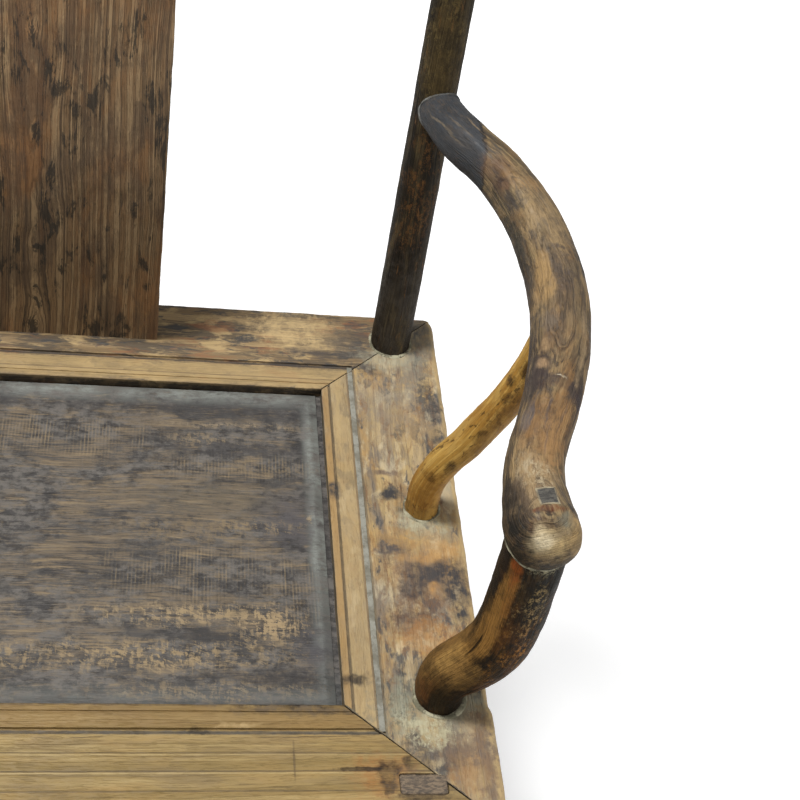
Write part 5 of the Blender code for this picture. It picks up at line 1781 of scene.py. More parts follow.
@dataclass
class SeatPanel:
    """The floating panel: tongued into the frame, bevelled round, rippled by the plane and rubbed."""

    half_width: float = 0.205
    front: float = 0.092
    back: float = 0.388
    top: float = 0.494
    underside: float = PANEL_UNDERSIDE
    tongue_top: float = 0.4905
    tongue_underside: float = 0.4845
    tongue: float = 0.008
    clearance: float = 0.001
    bevel_width: float = 0.007
    bevel_depth: float = 0.002
    side_channel: float = 0.0034
    ripple_pitch: float = 0.0027
    ripple_depth: float = 0.00022
    board_pitch: float = 0.010
    hollow_width: float = 0.012
    # Width of the painted sheen's band inside the bevel, and how far in from the sides and the back it is
    # strong.
    sheen_width: float = 0.009
    dusty_side: float = 0.024
    dusty_back: float = 0.020

    @property
    def middle_y(self) -> float:
        """The panel's middle from front to back."""
        return (self.front + self.back) / 2

    def build(self) -> None:
        """Builds and dresses the panel."""
        reach = self.tongue
        low = at(-self.half_width - reach, self.front - reach, self.tongue_underside)
        high = at(self.half_width + reach, self.back + reach, self.tongue_top)
        panel = block("rubbed_seat_panel", low, high)
        shoulder = reach + self.clearance
        with shaping(panel):
            choose_faces(panel, lambda middle, normal: normal.z > FACING)
            bpy.ops.mesh.inset(thickness=shoulder)
            draw_out(UPWARD * (self.top - self.bevel_depth - self.tongue_top))
            bpy.ops.mesh.inset(thickness=self.bevel_width, depth=self.bevel_depth)
            choose_faces(panel, lambda middle, normal: normal.z < -FACING)
            bpy.ops.mesh.inset(thickness=shoulder)
            draw_out(UPWARD * (self.underside - self.tongue_underside))
        rule(panel, ACROSS, self.ripple_pitch)
        rule(panel, BACKWARD, self.board_pitch)

        def across_top(one: Vector, two: Vector) -> bool:
            """Whether an edge lies in the panel's top and runs across it.

            Args:
                one: its first end.
                two: its other end.

            Returns:
                True where it does.
            """
            run = two - one
            level = abs(run.y) < TINY and abs(run.z) < TINY < abs(run.x)
            return level and one.z > self.top - SKIN

        with shaping(panel):
            choose_edges(panel, across_top)
            bpy.ops.mesh.subdivide(number_cuts=3)
        self.wear(panel)
        ends = [at(x, self.middle_y, self.top) for x in (-self.half_width, self.half_width)]
        line = straight(*ends, ONE)
        lay_grain(panel, line, BACKWARD)
        hand_over(panel, PANEL, "slate_lacquer", "seat_panel")

    def wear(self, panel: Piece) -> None:
        """Ripples the panel's top and notes where its lacquer is rubbed through, where painted sheen lies on
        its bevels, and where the channels round the field stay black as painted shade.

        Args:
            panel: the panel.
        """
        rub_shade_and_sheen = []
        for corner in panel.data.vertices:
            place = corner.co
            x, y = place.x, place.y - SEAT_FRONT
            fray = 0.35 * waver(x * 40, y * 60, 8.7) + 0.2 * waver(x * 90, y * 130, 2.2)
            depth = min(math.hypot((abs(x) - mx) / rx, (y - my) / ry) for mx, my, rx, ry in CHATTER)
            share = ease((1.25 - depth - fray) / 0.7) * (0.75 + 0.9 * waver(x * 300, y * 50, 4.4))
            phase = math.tau * (x + 0.0014 * waver(x * 30, y * 12, 1.7)) / self.ripple_pitch
            ripple = math.sin(phase) * share
            on_field = place.z > self.top - SKIN
            if place.z > self.tongue_top - SKIN and abs(x) < self.half_width:
                place.x *= 1 - self.side_channel / self.half_width
            if on_field:
                place.z += ripple * self.ripple_depth / 2
                place.z += 0.0006 * waver(x * 5, y * 22, 5.5)
            edge = min(self.half_width - abs(x), y - self.front, self.back - y) - self.clearance
            hollow = 1 - ease((edge - self.bevel_width) / self.hollow_width)
            close = 1 - ease((edge - self.bevel_width) / self.sheen_width)
            # Painted sheen: full on the bevels along the sides and the back, growing towards the back, faint
            # at the front, with a fainter band just inside every bevel.
            on_sheen_edge = abs(x) > self.half_width - self.dusty_side or y > self.back - self.dusty_back
            sheen_toward_back = 0.30 + 0.70 * ease((y - 0.10) / 0.12)
            caught = 0.85 * sheen_toward_back if on_sheen_edge else 0.15
            caught *= 0.85 + 0.8 * waver(x * 45, y * 45, 6.1)
            rim = min(caught * (close if on_field else 1.0) + 0.20 * hollow * on_field, 1.0)
            below = place.z < self.tongue_top + SKIN
            # The channels round the field stay black as painted shade; close to the bevels the lacquer is a
            # little less worn.
            worn = -0.30 if below else -0.10 * hollow
            rub_shade_and_sheen.append((worn, ripple if on_field else 0.0, 0.0 if below else rim))
        note(panel, RUB_SHADE_AND_SHEEN, np.array(rub_shade_and_sheen))


@dataclass
class Legs:
    """Front legs and back posts: the lines that they follow, and their shapes."""

    front_x: float = 0.258
    front_y: float = 0.037
    front_radii: tuple[float, float] = (0.0205, 0.0195)
    front_spread: float = 0.016
    front_rake: float = 0.008
    back_x: float = 0.268
    back_y: float = 0.447
    post_radii: tuple[float, float] = (0.0168, 0.0150)
    leg_radii: tuple[float, float] = (0.0190, 0.0185)
    lean: float = math.radians(9.5)
    back_spread: float = 0.014
    back_rake: float = 0.016
    crest_height: float = 1.085
    collar_girth: float = 0.0014
    grain_pitch: float = 0.030
    leg_wear: Wear = ((0.0012, 0.030), (0.0006, 0.008))
    post_wear: Wear = ((0.0010, 0.045), (0.0005, 0.010))

    def front_axis(self, side: Side, height: float) -> Vector:
        """The middle of a front leg at a height.

        Args:
            side: the leg's side.
            height: the height.

        Returns:
            The middle.
        """
        down = 1 - min(height / FRAME_UNDERSIDE, 1)
        x = self.front_x + self.front_spread * down
        return at(side.value * x, self.front_y - self.front_rake * down, height)

    def back_axis(self, side: Side, height: float) -> Vector:
        """The middle of a back leg and post at a height.

        Args:
            side: the post's side.
            height: the height.

        Returns:
            The middle.
        """
        down = 1 - min(height / FRAME_UNDERSIDE, 1)
        up = max(height - SEAT_HEIGHT, 0)
        x = self.back_x + self.back_spread * down
        return at(side.value * x, self.back_y + self.back_rake * down + math.tan(self.lean) * up, height)

    def build(self) -> None:
        """Builds and dresses the four legs and the two back posts."""
        for side in Side:
            self.front_leg(side)
            self.back_post(side)

    def front_leg(self, side: Side) -> None:
        """Builds and dresses one front leg.

        Args:
            side: its side.
        """
        foot = self.front_axis(side, 0)
        top = self.front_axis(side, FRAME_UNDERSIDE)
        line = straight(foot, top, round_section(self.front_radii[1]), round_section(self.front_radii[0]))
        line = [Station(station.middle, UPWARD, station.size) for station in line]
        leg = stick(f"worn_front_leg_{side.word}", self.with_arris(divided(line, STICK_PITCH)))
        roughen(leg, 2, self.leg_wear)
        lay_grain(leg, line, ACROSS * side.value, side.value)
        hand_over(leg, WORN, "honey_elm", f"front_leg_{side.word}")

    def with_arris(self, line: list[Station], arris: float = 0.0015) -> list[Station]:
        """Adds a section close to each end, so that the end keeps its edge.

        Args:
            line: the sections.
            arris: how far from the end the added ones lie.

        Returns:
            The sections with the two more.
        """
        first, last = line[0], line[-1]
        start = Station(first.middle + first.heading * arris, first.heading, first.size.copy())
        stop = Station(last.middle - last.heading * arris, last.heading, last.size.copy())
        return [first, start, *line[1:-1], stop, last]

    def back_post(self, side: Side) -> None:
        """Builds and dresses one back leg with its post.

        Args:
            side: its side.
        """
        leg_top, leg_foot = self.leg_radii
        post_foot, post_top = self.post_radii
        sections = (
            (0.0, leg_foot), (FRAME_UNDERSIDE - 0.001, leg_top), (FRAME_UNDERSIDE + 0.002, post_foot),
            (SEAT_HEIGHT, post_foot), (self.crest_height, post_top),
        )
        line = []
        for height, radius in sections:
            line.append(Station(self.back_axis(side, height), UPWARD, round_section(radius)))
        post = stick(f"worn_back_post_{side.word}", self.with_arris(divided(line, STICK_PITCH)), 20)
        roughen(post, 2, self.post_wear)
        lay_grain(post, divided(line, self.grain_pitch), ACROSS * side.value, side.value)
        hand_over(post, BACK_POST, "dark_elm", f"back_post_{side.word}", f"arm_peg_{side.word}")
        foot = self.back_axis(side, SEAT_HEIGHT)
        filler = collar(f"back_post_filler_{side.word}", foot, post_foot, self.collar_girth)
        hand_over(filler, FILLER, "dark_elm")


@dataclass
class Arms:
    """The two bent arms, with the ends of the front posts' tenons that show on top."""

    legs: Legs
    rear_height: float = 0.728
    front_height: float = 0.677
    front_setback: float = 0.118
    bulge: float = 0.0725
    radius: float = 0.0215
    nose: float = 0.0255
    lap: float = 0.006
    tenon_half: float = 0.0055
    tenon_rim: float = 0.0011
    tenon_setback: float = 0.006
    tenon_root: float = 0.010
    tenon_turn: float = 0.12
    droop: float = 0.0030
    rear_dip: float = 0.0030
    wear: Wear = ((0.0014, 0.030), (0.0006, 0.009))
    pitch: float = 0.005
    seam_stations: int = 9
    seam_radius: float = 0.0012
    seam_points: int = 40

    @property
    def rear(self) -> Vector:
        """The left back post's middle at the arm's height."""
        return self.legs.back_axis(Side.LEFT, self.rear_height)

    @property
    def reach(self) -> float:
        """The run from the back post to the front post."""
        return self.rear.y - SEAT_FRONT - self.front_setback

    def place(self, run: float, bulge: float) -> Vector:
        """A point of the left arm's middle line.

        Args:
            run: share of the run forward.
            bulge: share of the bulge outward.

        Returns:
            The point.
        """
        rear = self.rear
        fall = (self.rear_height - self.front_height) * ease(run) + self.droop * ease((run - 0.94) / 0.08)
        fall += self.rear_dip * (1 - ease(run / 0.14))
        return Vector((rear.x + self.bulge * bulge, rear.y - self.reach * run, self.rear_height - fall))

    def rows(self) -> list[Triple]:
        """Share of the run, share of the bulge and share of the radius along the arm.

        Returns:
            The rows, from the back post to the nose.
        """
        shares = [
            (self.lap / self.reach, 0.045, 0.750), (0.055, 0.085, 0.790), (0.127, 0.250, 0.850),
            (0.210, 0.565, 0.875), (0.300, 0.790, 0.920), (0.400, 0.942, 0.970), (0.510, 1.010, 0.995),
            (0.625, 0.955, 0.980), (0.714, 0.841, 0.930), (0.793, 0.697, 0.895), (0.859, 0.575, 0.890),
            (0.921, 0.515, 0.935), (0.965, 0.512, 1.025), (1.000, 0.524, 1.125),
        ]
        nose = self.nose / self.reach
        shares += [(1 + 0.50 * nose, 0.560, 1.080), (1 + 0.80 * nose, 0.575, 0.860), (1 + nose, 0.580, 0.420)]
        return shares

    def line(self) -> list[Station]:
        """The left arm's sections, from the back post to the nose.

        Returns:
            The sections.
        """
        rows = self.rows()
        points = [self.place(run, bulge) for run, bulge, _ in rows]
        return flowing(points, [self.radius * girth for _, _, girth in rows], self.pitch)

    def axis_at(self, y: float) -> Vector:
        """The middle of the left arm at a distance y from the seat's front edge.

        Args:
            y: the distance.

        Returns:
            The middle.
        """
        run = (self.rear.y - SEAT_FRONT - y) / self.reach
        for (start, first, _), (end, second, _) in pairwise(self.rows()):
            if run <= end:
                break
        return self.place(run, first + (second - first) * (run - start) / (end - start))

    def build(self) -> None:
        """Builds and dresses both arms."""
        line = self.line()
        arm = stick("worn_arm_left", line, 24, (End.SAWN, End.DOMED))
        roughen(arm, 2, self.wear)
        inlay = self.tenon_end(arm)
        other = other_hand(arm, "worn_arm_right")
        lay_grain(arm, line, UPWARD, -1)
        lay_grain(other, mirrored(line), UPWARD, 1)
        hand_over(arm, ARM, "worn_elm", "arm_left")
        hand_over(other, OTHER_ARM, "worn_elm", "arm_right")
        for piece, finish in zip(inlay, (ARM_RIM, ARM_TENON_END)):
            hand_over_both(piece, finish, "worn_elm")
        self.rear_seam(line)

    def tenon_end(self, arm: Piece) -> tuple[Piece, Piece]:
        """Lets the front post's tenon through the left arm's top, in a rim of filler.

        Args:
            arm: the left arm, which gets the hole.

        Returns:
            The rim and the tenon's end.
        """
        middle = self.axis_at(self.front_setback + self.tenon_setback)
        parts = []
        tools = []
        for word, half in (("rim", self.tenon_half + self.tenon_rim), ("tenon_end", self.tenon_half)):
            low = middle + Vector((-half, -half, self.tenon_root))
            high = middle + Vector((half, half, self.radius * 2))
            tool = block(f"{word}_tool", low, high)
            with shaping(tool):
                choose_all()
                turn_section(Quaternion(UPWARD, self.tenon_turn), middle)
            part = copy_of(arm, f"arm_{word}_left")
            finish_with(part, "BOOLEAN", object=tool, operation="INTERSECT", solver="EXACT")
            parts.append(part)
            tools.append(tool)
        shave(arm, tools[0])
        shave(parts[0], tools[1])
        return parts[0], parts[1]

    def past_post(self, point: Vector) -> float:
        """How far a point lies outside the left back post's skin.

        Args:
            point: the point.

        Returns:
            The distance, below 0 inside the post.
        """
        axis = self.legs.back_axis(Side.LEFT, point.z)
        thick, thin = self.legs.post_radii
        radius = thick + (thin - thick) * (point.z - SEAT_HEIGHT) / (self.legs.crest_height - SEAT_HEIGHT)
        return math.hypot(point.x - axis.x, point.y - axis.y) - radius

    def rear_seam(self, line: list[Station]) -> None:
        """Lays filler round the arms' rear ends, where they meet the back posts.

        Args:
            line: the left arm's sections.
        """
        aside = line[0].heading.orthogonal().normalized()
        points = []
        for step in range(self.seam_points):
            out = Quaternion(line[0].heading, math.tau * step / self.seam_points) @ aside
            skin = []
            for station in line[:self.seam_stations]:
                across = (out - station.heading * out.dot(station.heading)).normalized()
                skin.append(station.middle + across * station.size.x)
            met = skin[0]
            for near, far in pairwise(skin):
                if self.past_post(near) <= 0 < self.past_post(far):
                    share = self.past_post(near) / (self.past_post(near) - self.past_post(far))
                    met = near.lerp(far, share)
            points.append(met)
        hand_over_both(bead("arm_rear_filler_left", points, self.seam_radius), SEAM_FILLER, "worn_elm")


@dataclass
class ArmPosts:
    """The gooseneck posts under the arms' front ends and the slimmer ones under their middle."""

    arms: Arms
    half_seat: float = SEAT_WIDTH / 2
    front_inset: float = 0.037
    front_setback: float = 0.101
    front_radius: float = 0.0214
    side_inset: float = 0.033
    side_setback: float = 0.267
    side_rake: float = 0.008
    side_top_inset: float = 0.004
    side_radius: float = 0.0129
    front_collar: float = 0.0020
    side_collar: float = 0.0013
    seam_girth: float = 0.0009
    neck_drop: float = 0.030
    pitch: float = 0.004
    wear: Wear = ((0.0012, 0.022), (0.0005, 0.007))

    @property
    def front_foot(self) -> Vector:
        """The middle of the left front post at the seat's top."""
        return at(self.half_seat - self.front_inset, self.front_setback, SEAT_HEIGHT)

    @property
    def side_foot(self) -> Vector:
        """The middle of the left side post at the seat's top."""
        return at(self.half_seat - self.side_inset, self.side_setback, SEAT_HEIGHT)

    def front_rows(self) -> tuple[Triple, ...]:
        """Share of the rise, share of the sway outward and share of the radius of a front post.

        Returns:
            The rows, from under the seat's top to the arm.
        """
        return (
            (-0.110, -0.020, 0.780), (0.000, -0.020, 0.790), (0.069, -0.030, 0.840), (0.120, 0.020, 0.880),
            (0.160, 0.135, 0.910), (0.217, 0.450, 0.970), (0.275, 0.710, 1.000), (0.339, 0.885, 1.010),
            (0.400, 0.965, 1.005), (0.470, 1.010, 1.000), (0.657, 1.045, 0.995), (0.853, 1.040, 0.980),
            (1.000, 1.000, 0.970),
        )

    def side_rows(self) -> tuple[Triple, ...]:
        """The same of a side post.

        Returns:
            The rows, in the same order.
        """
        return (
            (-0.100, 0.000, 1.000), (0.000, 0.000, 1.000), (0.150, 0.005, 0.980), (0.270, 0.140, 0.990),
            (0.390, 0.375, 1.010), (0.500, 0.546, 1.000), (0.610, 0.705, 0.985), (0.760, 0.870, 0.945),
            (1.000, 1.000, 0.915),
        )

    def line(self, foot: Vector, top: Vector, rows: tuple[Triple, ...], radius: float) -> list[Station]:
        """The sections of a bent post on the sitter's left.

        Args:
            foot: its middle at the seat's top.
            top: its middle in the arm.
            rows: its shape, as shares.
            radius: its full radius.

        Returns:
            The sections, from under the seat's top to the arm's middle.
        """
        run = top - foot
        points = [foot + run * Vector((sway, rise, rise)) for rise, sway, _ in rows]
        return flowing(points, [radius * girth for _, _, girth in rows], self.pitch)

    def front_line(self) -> list[Station]:
        """The left front post's sections."""
        top = self.arms.axis_at(self.arms.front_setback)
        return self.line(self.front_foot, top, self.front_rows(), self.front_radius)

    def side_line(self) -> list[Station]:
        """The left side post's sections.

        Returns:
            The sections, from the foot to the arm.
        """
        top = self.arms.axis_at(self.side_setback + self.side_rake)
        top.x -= self.side_top_inset
        return self.line(self.side_foot, top, self.side_rows(), self.side_radius)

    def build(self) -> None:
        """Builds and dresses the four posts."""
        for name, node, line, sides, finish, slot in (
            ("worn_front_post", "front_arm_post", self.front_line(), 24, POST, "dark_elm"),
            ("worn_side_post", "side_arm_post", self.side_line(), 20, OCHRE, "ochre_elm"),
        ):
            post = stick(f"{name}_left", line, sides)
            roughen(post, 2, self.wear)
            other = other_hand(post, f"{name}_right")
            lay_grain(post, line, ACROSS, 1)
            lay_grain(other, mirrored(line), -ACROSS, -1)
            hand_over(post, finish, slot, f"{node}_left")
            hand_over(other, finish, slot, f"{node}_right")
        self.fill_joints()

    def fill_joints(self) -> None:
        """Lays filler round the posts' feet and under the arms' front ends."""
        foot_radius = self.front_radius * self.front_rows()[1][2]
        neck = next(s for s in self.front_line() if s.middle.z > self.arms.front_height - self.neck_drop)
        arm = bpy.data.objects["worn_arm_left"]
        front = collar("front_post_filler_left", self.front_foot, foot_radius, self.front_collar)
        side = collar("side_post_filler_left", self.side_foot, self.side_radius, self.side_collar)
        seam = bead("arm_seam_filler_left", seam_points(arm, neck), self.seam_girth)
        for piece, slot in ((front, "dark_elm"), (side, "ochre_elm"), (seam, "worn_elm")):
            hand_over_both(piece, FILLER, slot)


@dataclass
class BackRest:
    """The yoke crest rail and the splat."""

    legs: Legs
    overhang: float = 0.055
    end_radius: float = 0.0175
    bow: float = 0.016
    tip_lift: float = 0.010
    tip_round: float = 0.012
    head_rise: float = 0.016
    head_height: float = 0.056
    head_thickness: float = 0.030
    head_shares: tuple[float, float] = (0.26, 0.60)
    splat_width: float = 0.138
    splat_thickness: float = 0.011
    splat_sway: float = 0.014
    splat_foot: float = 0.440
    splat_sink: float = 0.004
    splat_round: float = 0.0025
    splat_steps: int = 44
    crest_steps: int = 34
    crest_wear: Wear = ((0.0014, 0.035), (0.0006, 0.009))
    splat_wear: Wear = ((0.0014, 0.040), (0.0006, 0.010))

    @property
    def half_length(self) -> float:
        """Half the crest rail's length."""
        return self.legs.back_x + self.overhang

    def head_share(self, x: float) -> float:
        """1 along the headrest, 0 along the round ends, and a smooth shoulder between."""
        start, end = self.head_shares
        return 1 - ease((abs(x) / self.half_length - start) / (end - start))

    def crest_middle(self, x: float) -> Vector:
        """The crest rail's middle at a place across the chair.

        Args:
            x: the place.

        Returns:
            The middle.
        """
        post = self.legs.back_axis(Side.LEFT, self.legs.crest_height)
        beyond = max(abs(x) - post.x, 0) / self.overhang
        y = post.y + self.bow * (1 - (x / post.x) ** 2)
        return Vector((x, y, post.z + self.head_rise * self.head_share(x) + self.tip_lift * beyond ** 2))

    def crest_size(self, x: float) -> Vector:
        """Half the crest's depth and half its height at a place across the chair.

        Args:
            x: the place.

        Returns:
            1, then the two half sizes.
        """
        head = self.head_share(x)
        depth = self.end_radius + (self.head_thickness / 2 - self.end_radius) * head
        height = self.end_radius + (self.head_height / 2 - self.end_radius) * head
        return Vector((1, depth, height))

    def build(self) -> None:
        """Builds and dresses the crest rail and the splat."""
        self.crest()
        self.splat()

    def crest(self) -> None:
        """Builds and dresses the crest rail."""
        tip = self.tip_round / self.half_length
        half = [(step / self.crest_steps * (1 - tip), 1.0) for step in range(self.crest_steps + 1)]
        for turn in (0.25, 0.50, 0.72, 0.90):
            angle = math.pi / 2 * turn
            half.append((1 - tip + tip * math.sin(angle), math.cos(angle)))
        rows = [(-share, size) for share, size in reversed(half[1:])] + half
        line = []
        for share, size in rows:
            x = share * self.half_length
            depth = self.crest_size(x)
            line.append(Station(self.crest_middle(x), ACROSS, Vector((1, depth.y * size, depth.z * size))))
        crest = stick("worn_crest_rail", line, 24, (End.DOMED, End.DOMED))
        roughen(crest, 2, self.crest_wear)
        lay_grain(crest, line, BACKWARD)
        hand_over(crest, DARK, "dark_elm", "crest_rail", "crest_peg_left", "crest_peg_right")

    def splat(self) -> None:
        """Builds and dresses the splat, a board bent in a gentle S."""
        foot = at(0, self.splat_foot, SEAT_HEIGHT - self.splat_sink)
        top = self.crest_middle(0)
        points = []
        for step in range(self.splat_steps + 1):
            share = step / self.splat_steps
            sway = self.splat_sway * math.sin(math.tau * share)
            points.append(foot.lerp(top, share) - BACKWARD * sway)
        line = []
        for i, point in enumerate(points):
            heading = (points[min(i + 1, self.splat_steps)] - points[max(i - 1, 0)]).normalized()
            line.append(Station(point, heading, Vector((self.splat_width / 2, 1, 1))))
        low = at(-self.splat_width / 2, self.splat_foot - self.splat_thickness / 2, foot.z)
        high = at(self.splat_width / 2, self.splat_foot + self.splat_thickness / 2, foot.z + 0.001)
        board = block("worn_splat", low, high)
        with shaping(board):
            choose_faces(board, lambda middle, normal: normal.z > FACING)
            middle = Vector((0, (low.y + high.y) / 2, high.z))
            heading = UPWARD
            for station in line[1:]:
                draw_out(station.middle - middle)
                turn_section(heading.rotation_difference(station.heading), station.middle)
                middle, heading = station.middle, station.heading
        soften(board, self.splat_round, 3)
        rule(board, ACROSS, STICK_PITCH)
        roughen(board, 2, self.splat_wear, "SIMPLE")
        lay_grain(board, line, ACROSS)
        hand_over(board, WORN, "worn_elm", "back_splat")


@dataclass
class Understructure:
    """The boards under the frame, the footrest, the stretchers and the panel's battens."""

    legs: Legs
    housing: float = 0.009
    side_board_width: float = 0.030
    footrest_top: float = 0.112
    footrest_thickness: float = 0.022
    footrest_nose: float = 0.008
    footrest_heel: float = 0.016
    footrest_round: float = 0.004
    side_stretcher: float = 0.150
    back_stretcher: float = 0.195
    stretcher_radius: float = 0.0125
    board_arris: float = 0.0015
    board_pitch: float = 0.010
    board_edge: float = 0.020
    board_wear: Wear = ((0.0012, 0.030), (0.0005, 0.008))
    stretcher_wear: Wear = ((0.0012, 0.025), (0.0005, 0.008))

    def board(self, name: str, node: str, low: Vector, high: Vector) -> None:
        """Builds and dresses one flat board, its grain along its longest side.

        Args:
            name: the board's name.
            node: the CAD node that it replaces.
            low: its lowest corner.
            high: its highest corner.
        """
        piece = block(name, low, high)
        soften(piece, self.board_arris)
        self.age(piece, low, high)
        hand_over(piece, WORN, "worn_elm", node)

    def age(self, piece: Piece, low: Vector, high: Vector) -> None:
        """Gives a board a worn skin and its grain.

        Args:
            piece: the board.
            low: its lowest corner.
            high: its highest corner.
        """
        for axis in (ACROSS, BACKWARD, UPWARD):
            if (high - low).dot(axis) > self.board_edge:
                rule(piece, axis, self.board_pitch)
        roughen(piece, 1, self.board_wear, "SIMPLE")
        size = high - low
        pairs = ((ACROSS, BACKWARD), (BACKWARD, UPWARD), (UPWARD, ACROSS))
        axis, reference = max(pairs, key=lambda pair: size.dot(pair[0]))
        middle = (low + high) / 2
        reach = axis * size.dot(axis) / 2
        lay_grain(piece, straight(middle - reach, middle + reach, ONE), reference)

    def build(self) -> None:
        """Builds and dresses every board and stick below the seat."""
        self.aprons()
        self.footrest()
        self.stretchers()
        for side in Side:
            node = f"panel_batten_{side.word}"
            low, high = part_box(node)
            self.board(f"worn_batten_{side.word}", node, low, Vector((*high.xy, PANEL_UNDERSIDE)))

    def aprons(self) -> None:
        """Builds the boards under the rails and down the front legs."""
        for name in ("front_apron", "back_apron", "side_apron_left", "side_apron_right"):
            self.board(f"worn_{name}", name, *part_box(name))
        for side in Side:
            self.leg_board(side)

    def leg_board(self, side: Side) -> None:
        """Builds the board down one front leg, whose edges follow the leg.

        Args:
            side: the leg's side.
        """
        name = f"front_apron_side_{side.word}"
        low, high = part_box(name)
        width = self.side_board_width + self.housing
        piece = block(f"worn_{name}", low, high)
        with shaping(piece):
            for height in (low.z, high.z):
                axis = self.legs.front_axis(side, height)
                outer = axis.x + side.value * (self.housing - self.legs.front_radii[0])
                middle = outer - side.value * width / 2
                choose_faces(piece, lambda place, normal: abs(place.z - height) < NEAR)
                now = (low.x + high.x) / 2
                share = width / (high.x - low.x)
                bpy.ops.transform.translate(value=(middle - now, 0, 0), orient_type="GLOBAL")
                bpy.ops.transform.resize(value=(share, 1, 1), center_override=(middle, low.y, height))
        soften(piece, self.board_arris)
        self.age(piece, low, high)
        hand_over(piece, WORN, "worn_elm", name)

    def footrest(self) -> None:
        """Builds the footrest and the board under it."""
        top = self.footrest_top
        low_z = top - self.footrest_thickness
        leg = self.legs.front_axis(Side.LEFT, (low_z + top) / 2)
        low = Vector((-leg.x, leg.y - self.legs.front_radii[1] - self.footrest_nose, low_z))
        high = Vector((leg.x, leg.y + self.footrest_heel, top))
        piece = block("worn_footrest", low, high)
        soften(piece, self.footrest_round, 4)
        self.age(piece, low, high)
        hand_over(piece, GOLDEN, "honey_elm", "footrest")
        self.board("worn_footrest_apron", "footrest_apron", *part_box("footrest_apron"))

    def stretchers(self) -> None:
        """Builds the three round stretchers."""
        runs = []
        for side in Side:
            start = self.legs.front_axis(side, self.side_stretcher)
            end = self.legs.back_axis(side, self.side_stretcher)
            runs.append((f"side_stretcher_{side.word}", start, end))
        ends = [self.legs.back_axis(side, self.back_stretcher) for side in (Side.RIGHT, Side.LEFT)]
        runs.append(("back_stretcher", *ends))
        for name, start, end in runs:
            line = divided(straight(start, end, round_section(self.stretcher_radius)), STICK_PITCH)
            piece = stick(f"worn_{name}", line, 16)
            roughen(piece, 2, self.stretcher_wear)
            lay_grain(piece, line, UPWARD)
            hand_over(piece, WORN, "worn_elm", name)


class CornerPegs:
    """The pegs held inside the frame's corners: the CAD's own solids, dressed."""

    def build(self) -> None:
        """Gives the four pegs their material."""
        for end, side in product(("front", "back"), Side):
            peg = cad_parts[f"seat_corner_peg_{end}_{side.word}"]
            for slot in peg.material_slots:
                slot.material = material_of(TENON_END)


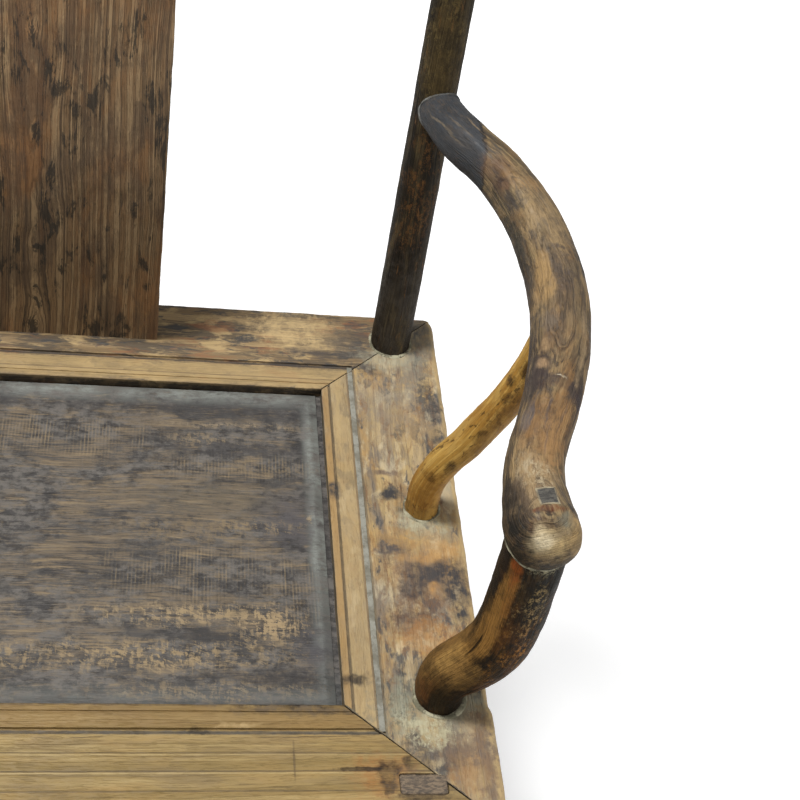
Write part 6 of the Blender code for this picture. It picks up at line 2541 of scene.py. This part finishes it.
@dataclass
class Studio:
    """The pale floor, the soft lights and the camera."""

    camera_place: Triple = (0.0525, -0.3969, 1.3453)
    yaw: float = 0.2738
    pitch: float = 0.8088
    roll: float = 0.2484
    focal_length: float = 63.0
    sensor_width: float = 36.0
    surround_light: float = 0.27
    floor_size: float = 14.0
    floor_drop: float = 0.0005
    floor_glow: float = 0.36
    far_glow: float = 0.72
    fade: tuple[float, float] = (0.2, 2.8)

    def build(self) -> None:
        """Sets up floor, world, lamps and camera."""
        self.floor()
        self.world()
        self.lamp("overhead_softbox", (-0.60, 0.3, 2.9), (0, 0, 0.5), 0.5, 58)
        self.lamp("front_softbox", (-1.6, -2.0, 2.0), (0, 0, 0.6), 1.5, 10)
        self.lamp("side_window", (2.1, -0.9, 1.15), (0.3, -0.2, 0.65), 0.5, 14)
        self.camera()
        bpy.context.scene.view_settings.view_transform = "Standard"

    def lamp(self, name: str, place: Triple, target: Triple, size: float, power: float) -> None:
        """Adds a square softbox that faces a target.

        Args:
            name: its name.
            place: where it hangs.
            target: the place that it faces.
            size: its width.
            power: its power in watts.
        """
        light = bpy.data.lights.new(name, "AREA")
        light.shape = "SQUARE"
        light.size = size
        light.energy = power
        lamp = added(name, light)
        lamp.location = place
        lamp.rotation_euler = (Vector(target) - Vector(place)).to_track_quat("-Z", "Y").to_euler()

    def world(self) -> None:
        """A white surround, which lights the chair softly and shows pure white."""
        world = bpy.data.worlds.new("studio")
        world.use_nodes = True
        tree = world.node_tree
        shade = tree.nodes["Background"]
        shade.inputs["Color"].default_value = (1, 1, 1, 1)
        path = tree.nodes.new("ShaderNodeLightPath")
        seen = tree.nodes.new("ShaderNodeMapRange")
        tree.links.new(path.outputs["Is Camera Ray"], seen.inputs["Value"])
        seen.inputs["To Min"].default_value = self.surround_light
        seen.inputs["To Max"].default_value = 1.0
        tree.links.new(seen.outputs[0], shade.inputs["Strength"])
        bpy.context.scene.world = world

    def floor(self) -> None:
        """A wide floor whose far edge fades into the white surround."""
        pick_nothing()
        bpy.ops.mesh.primitive_plane_add(size=self.floor_size, location=UPWARD * -self.floor_drop)
        floor = named("studio_floor")
        board = Palette("studio_floor")
        path = board.node("ShaderNodeLightPath", {})
        paler = board.ramp(board.vector("LENGTH", board.place), *self.fade, self.far_glow)
        glow = board.times(path.outputs["Is Camera Ray"], board.plus(paler, self.floor_glow))
        board.skin({"Base Color": (0.85, 0.85, 0.85, 1), "Roughness": 0.9, "Specular IOR Level": 0.1})
        board.skin({"Emission Color": (1, 1, 1, 1), "Emission Strength": glow})
        floor.data.materials.append(board.material)

    def camera(self) -> None:
        """The photograph's viewpoint."""
        data = bpy.data.cameras.new("camera")
        data.lens = self.focal_length
        data.sensor_width = self.sensor_width
        data.clip_start = 0.02
        camera = added("camera", data)
        yaw, pitch = self.yaw, self.pitch
        level = Vector((math.sin(yaw), math.cos(yaw), 0)) * math.cos(pitch)
        forward = level - UPWARD * math.sin(pitch)
        right = Vector((math.cos(yaw), -math.sin(yaw), 0))
        up = right.cross(forward)
        tilted_right = math.cos(self.roll) * right + math.sin(self.roll) * up
        tilted_up = math.cos(self.roll) * up - math.sin(self.roll) * right
        stance = Matrix((tilted_right, tilted_up, -forward)).transposed().to_4x4()
        stance.translation = at(*self.camera_place)
        camera.matrix_world = stance
        bpy.context.scene.camera = camera


def main() -> None:
    """Builds every sub-assembly in order and notes the sizes."""
    logging.basicConfig(level=logging.INFO, format="%(message)s")
    legs = Legs()
    arms = Arms(legs)
    parts = (
        SeatFrame(), SeatPanel(), legs, arms, ArmPosts(arms), BackRest(legs), Understructure(legs),
        CornerPegs(), Studio(),
    )
    for part in parts:
        LOG.info("Building %s", type(part).__name__)
        part.build()
    bpy.context.view_layer.update()


if __name__ == "__main__":
    main()
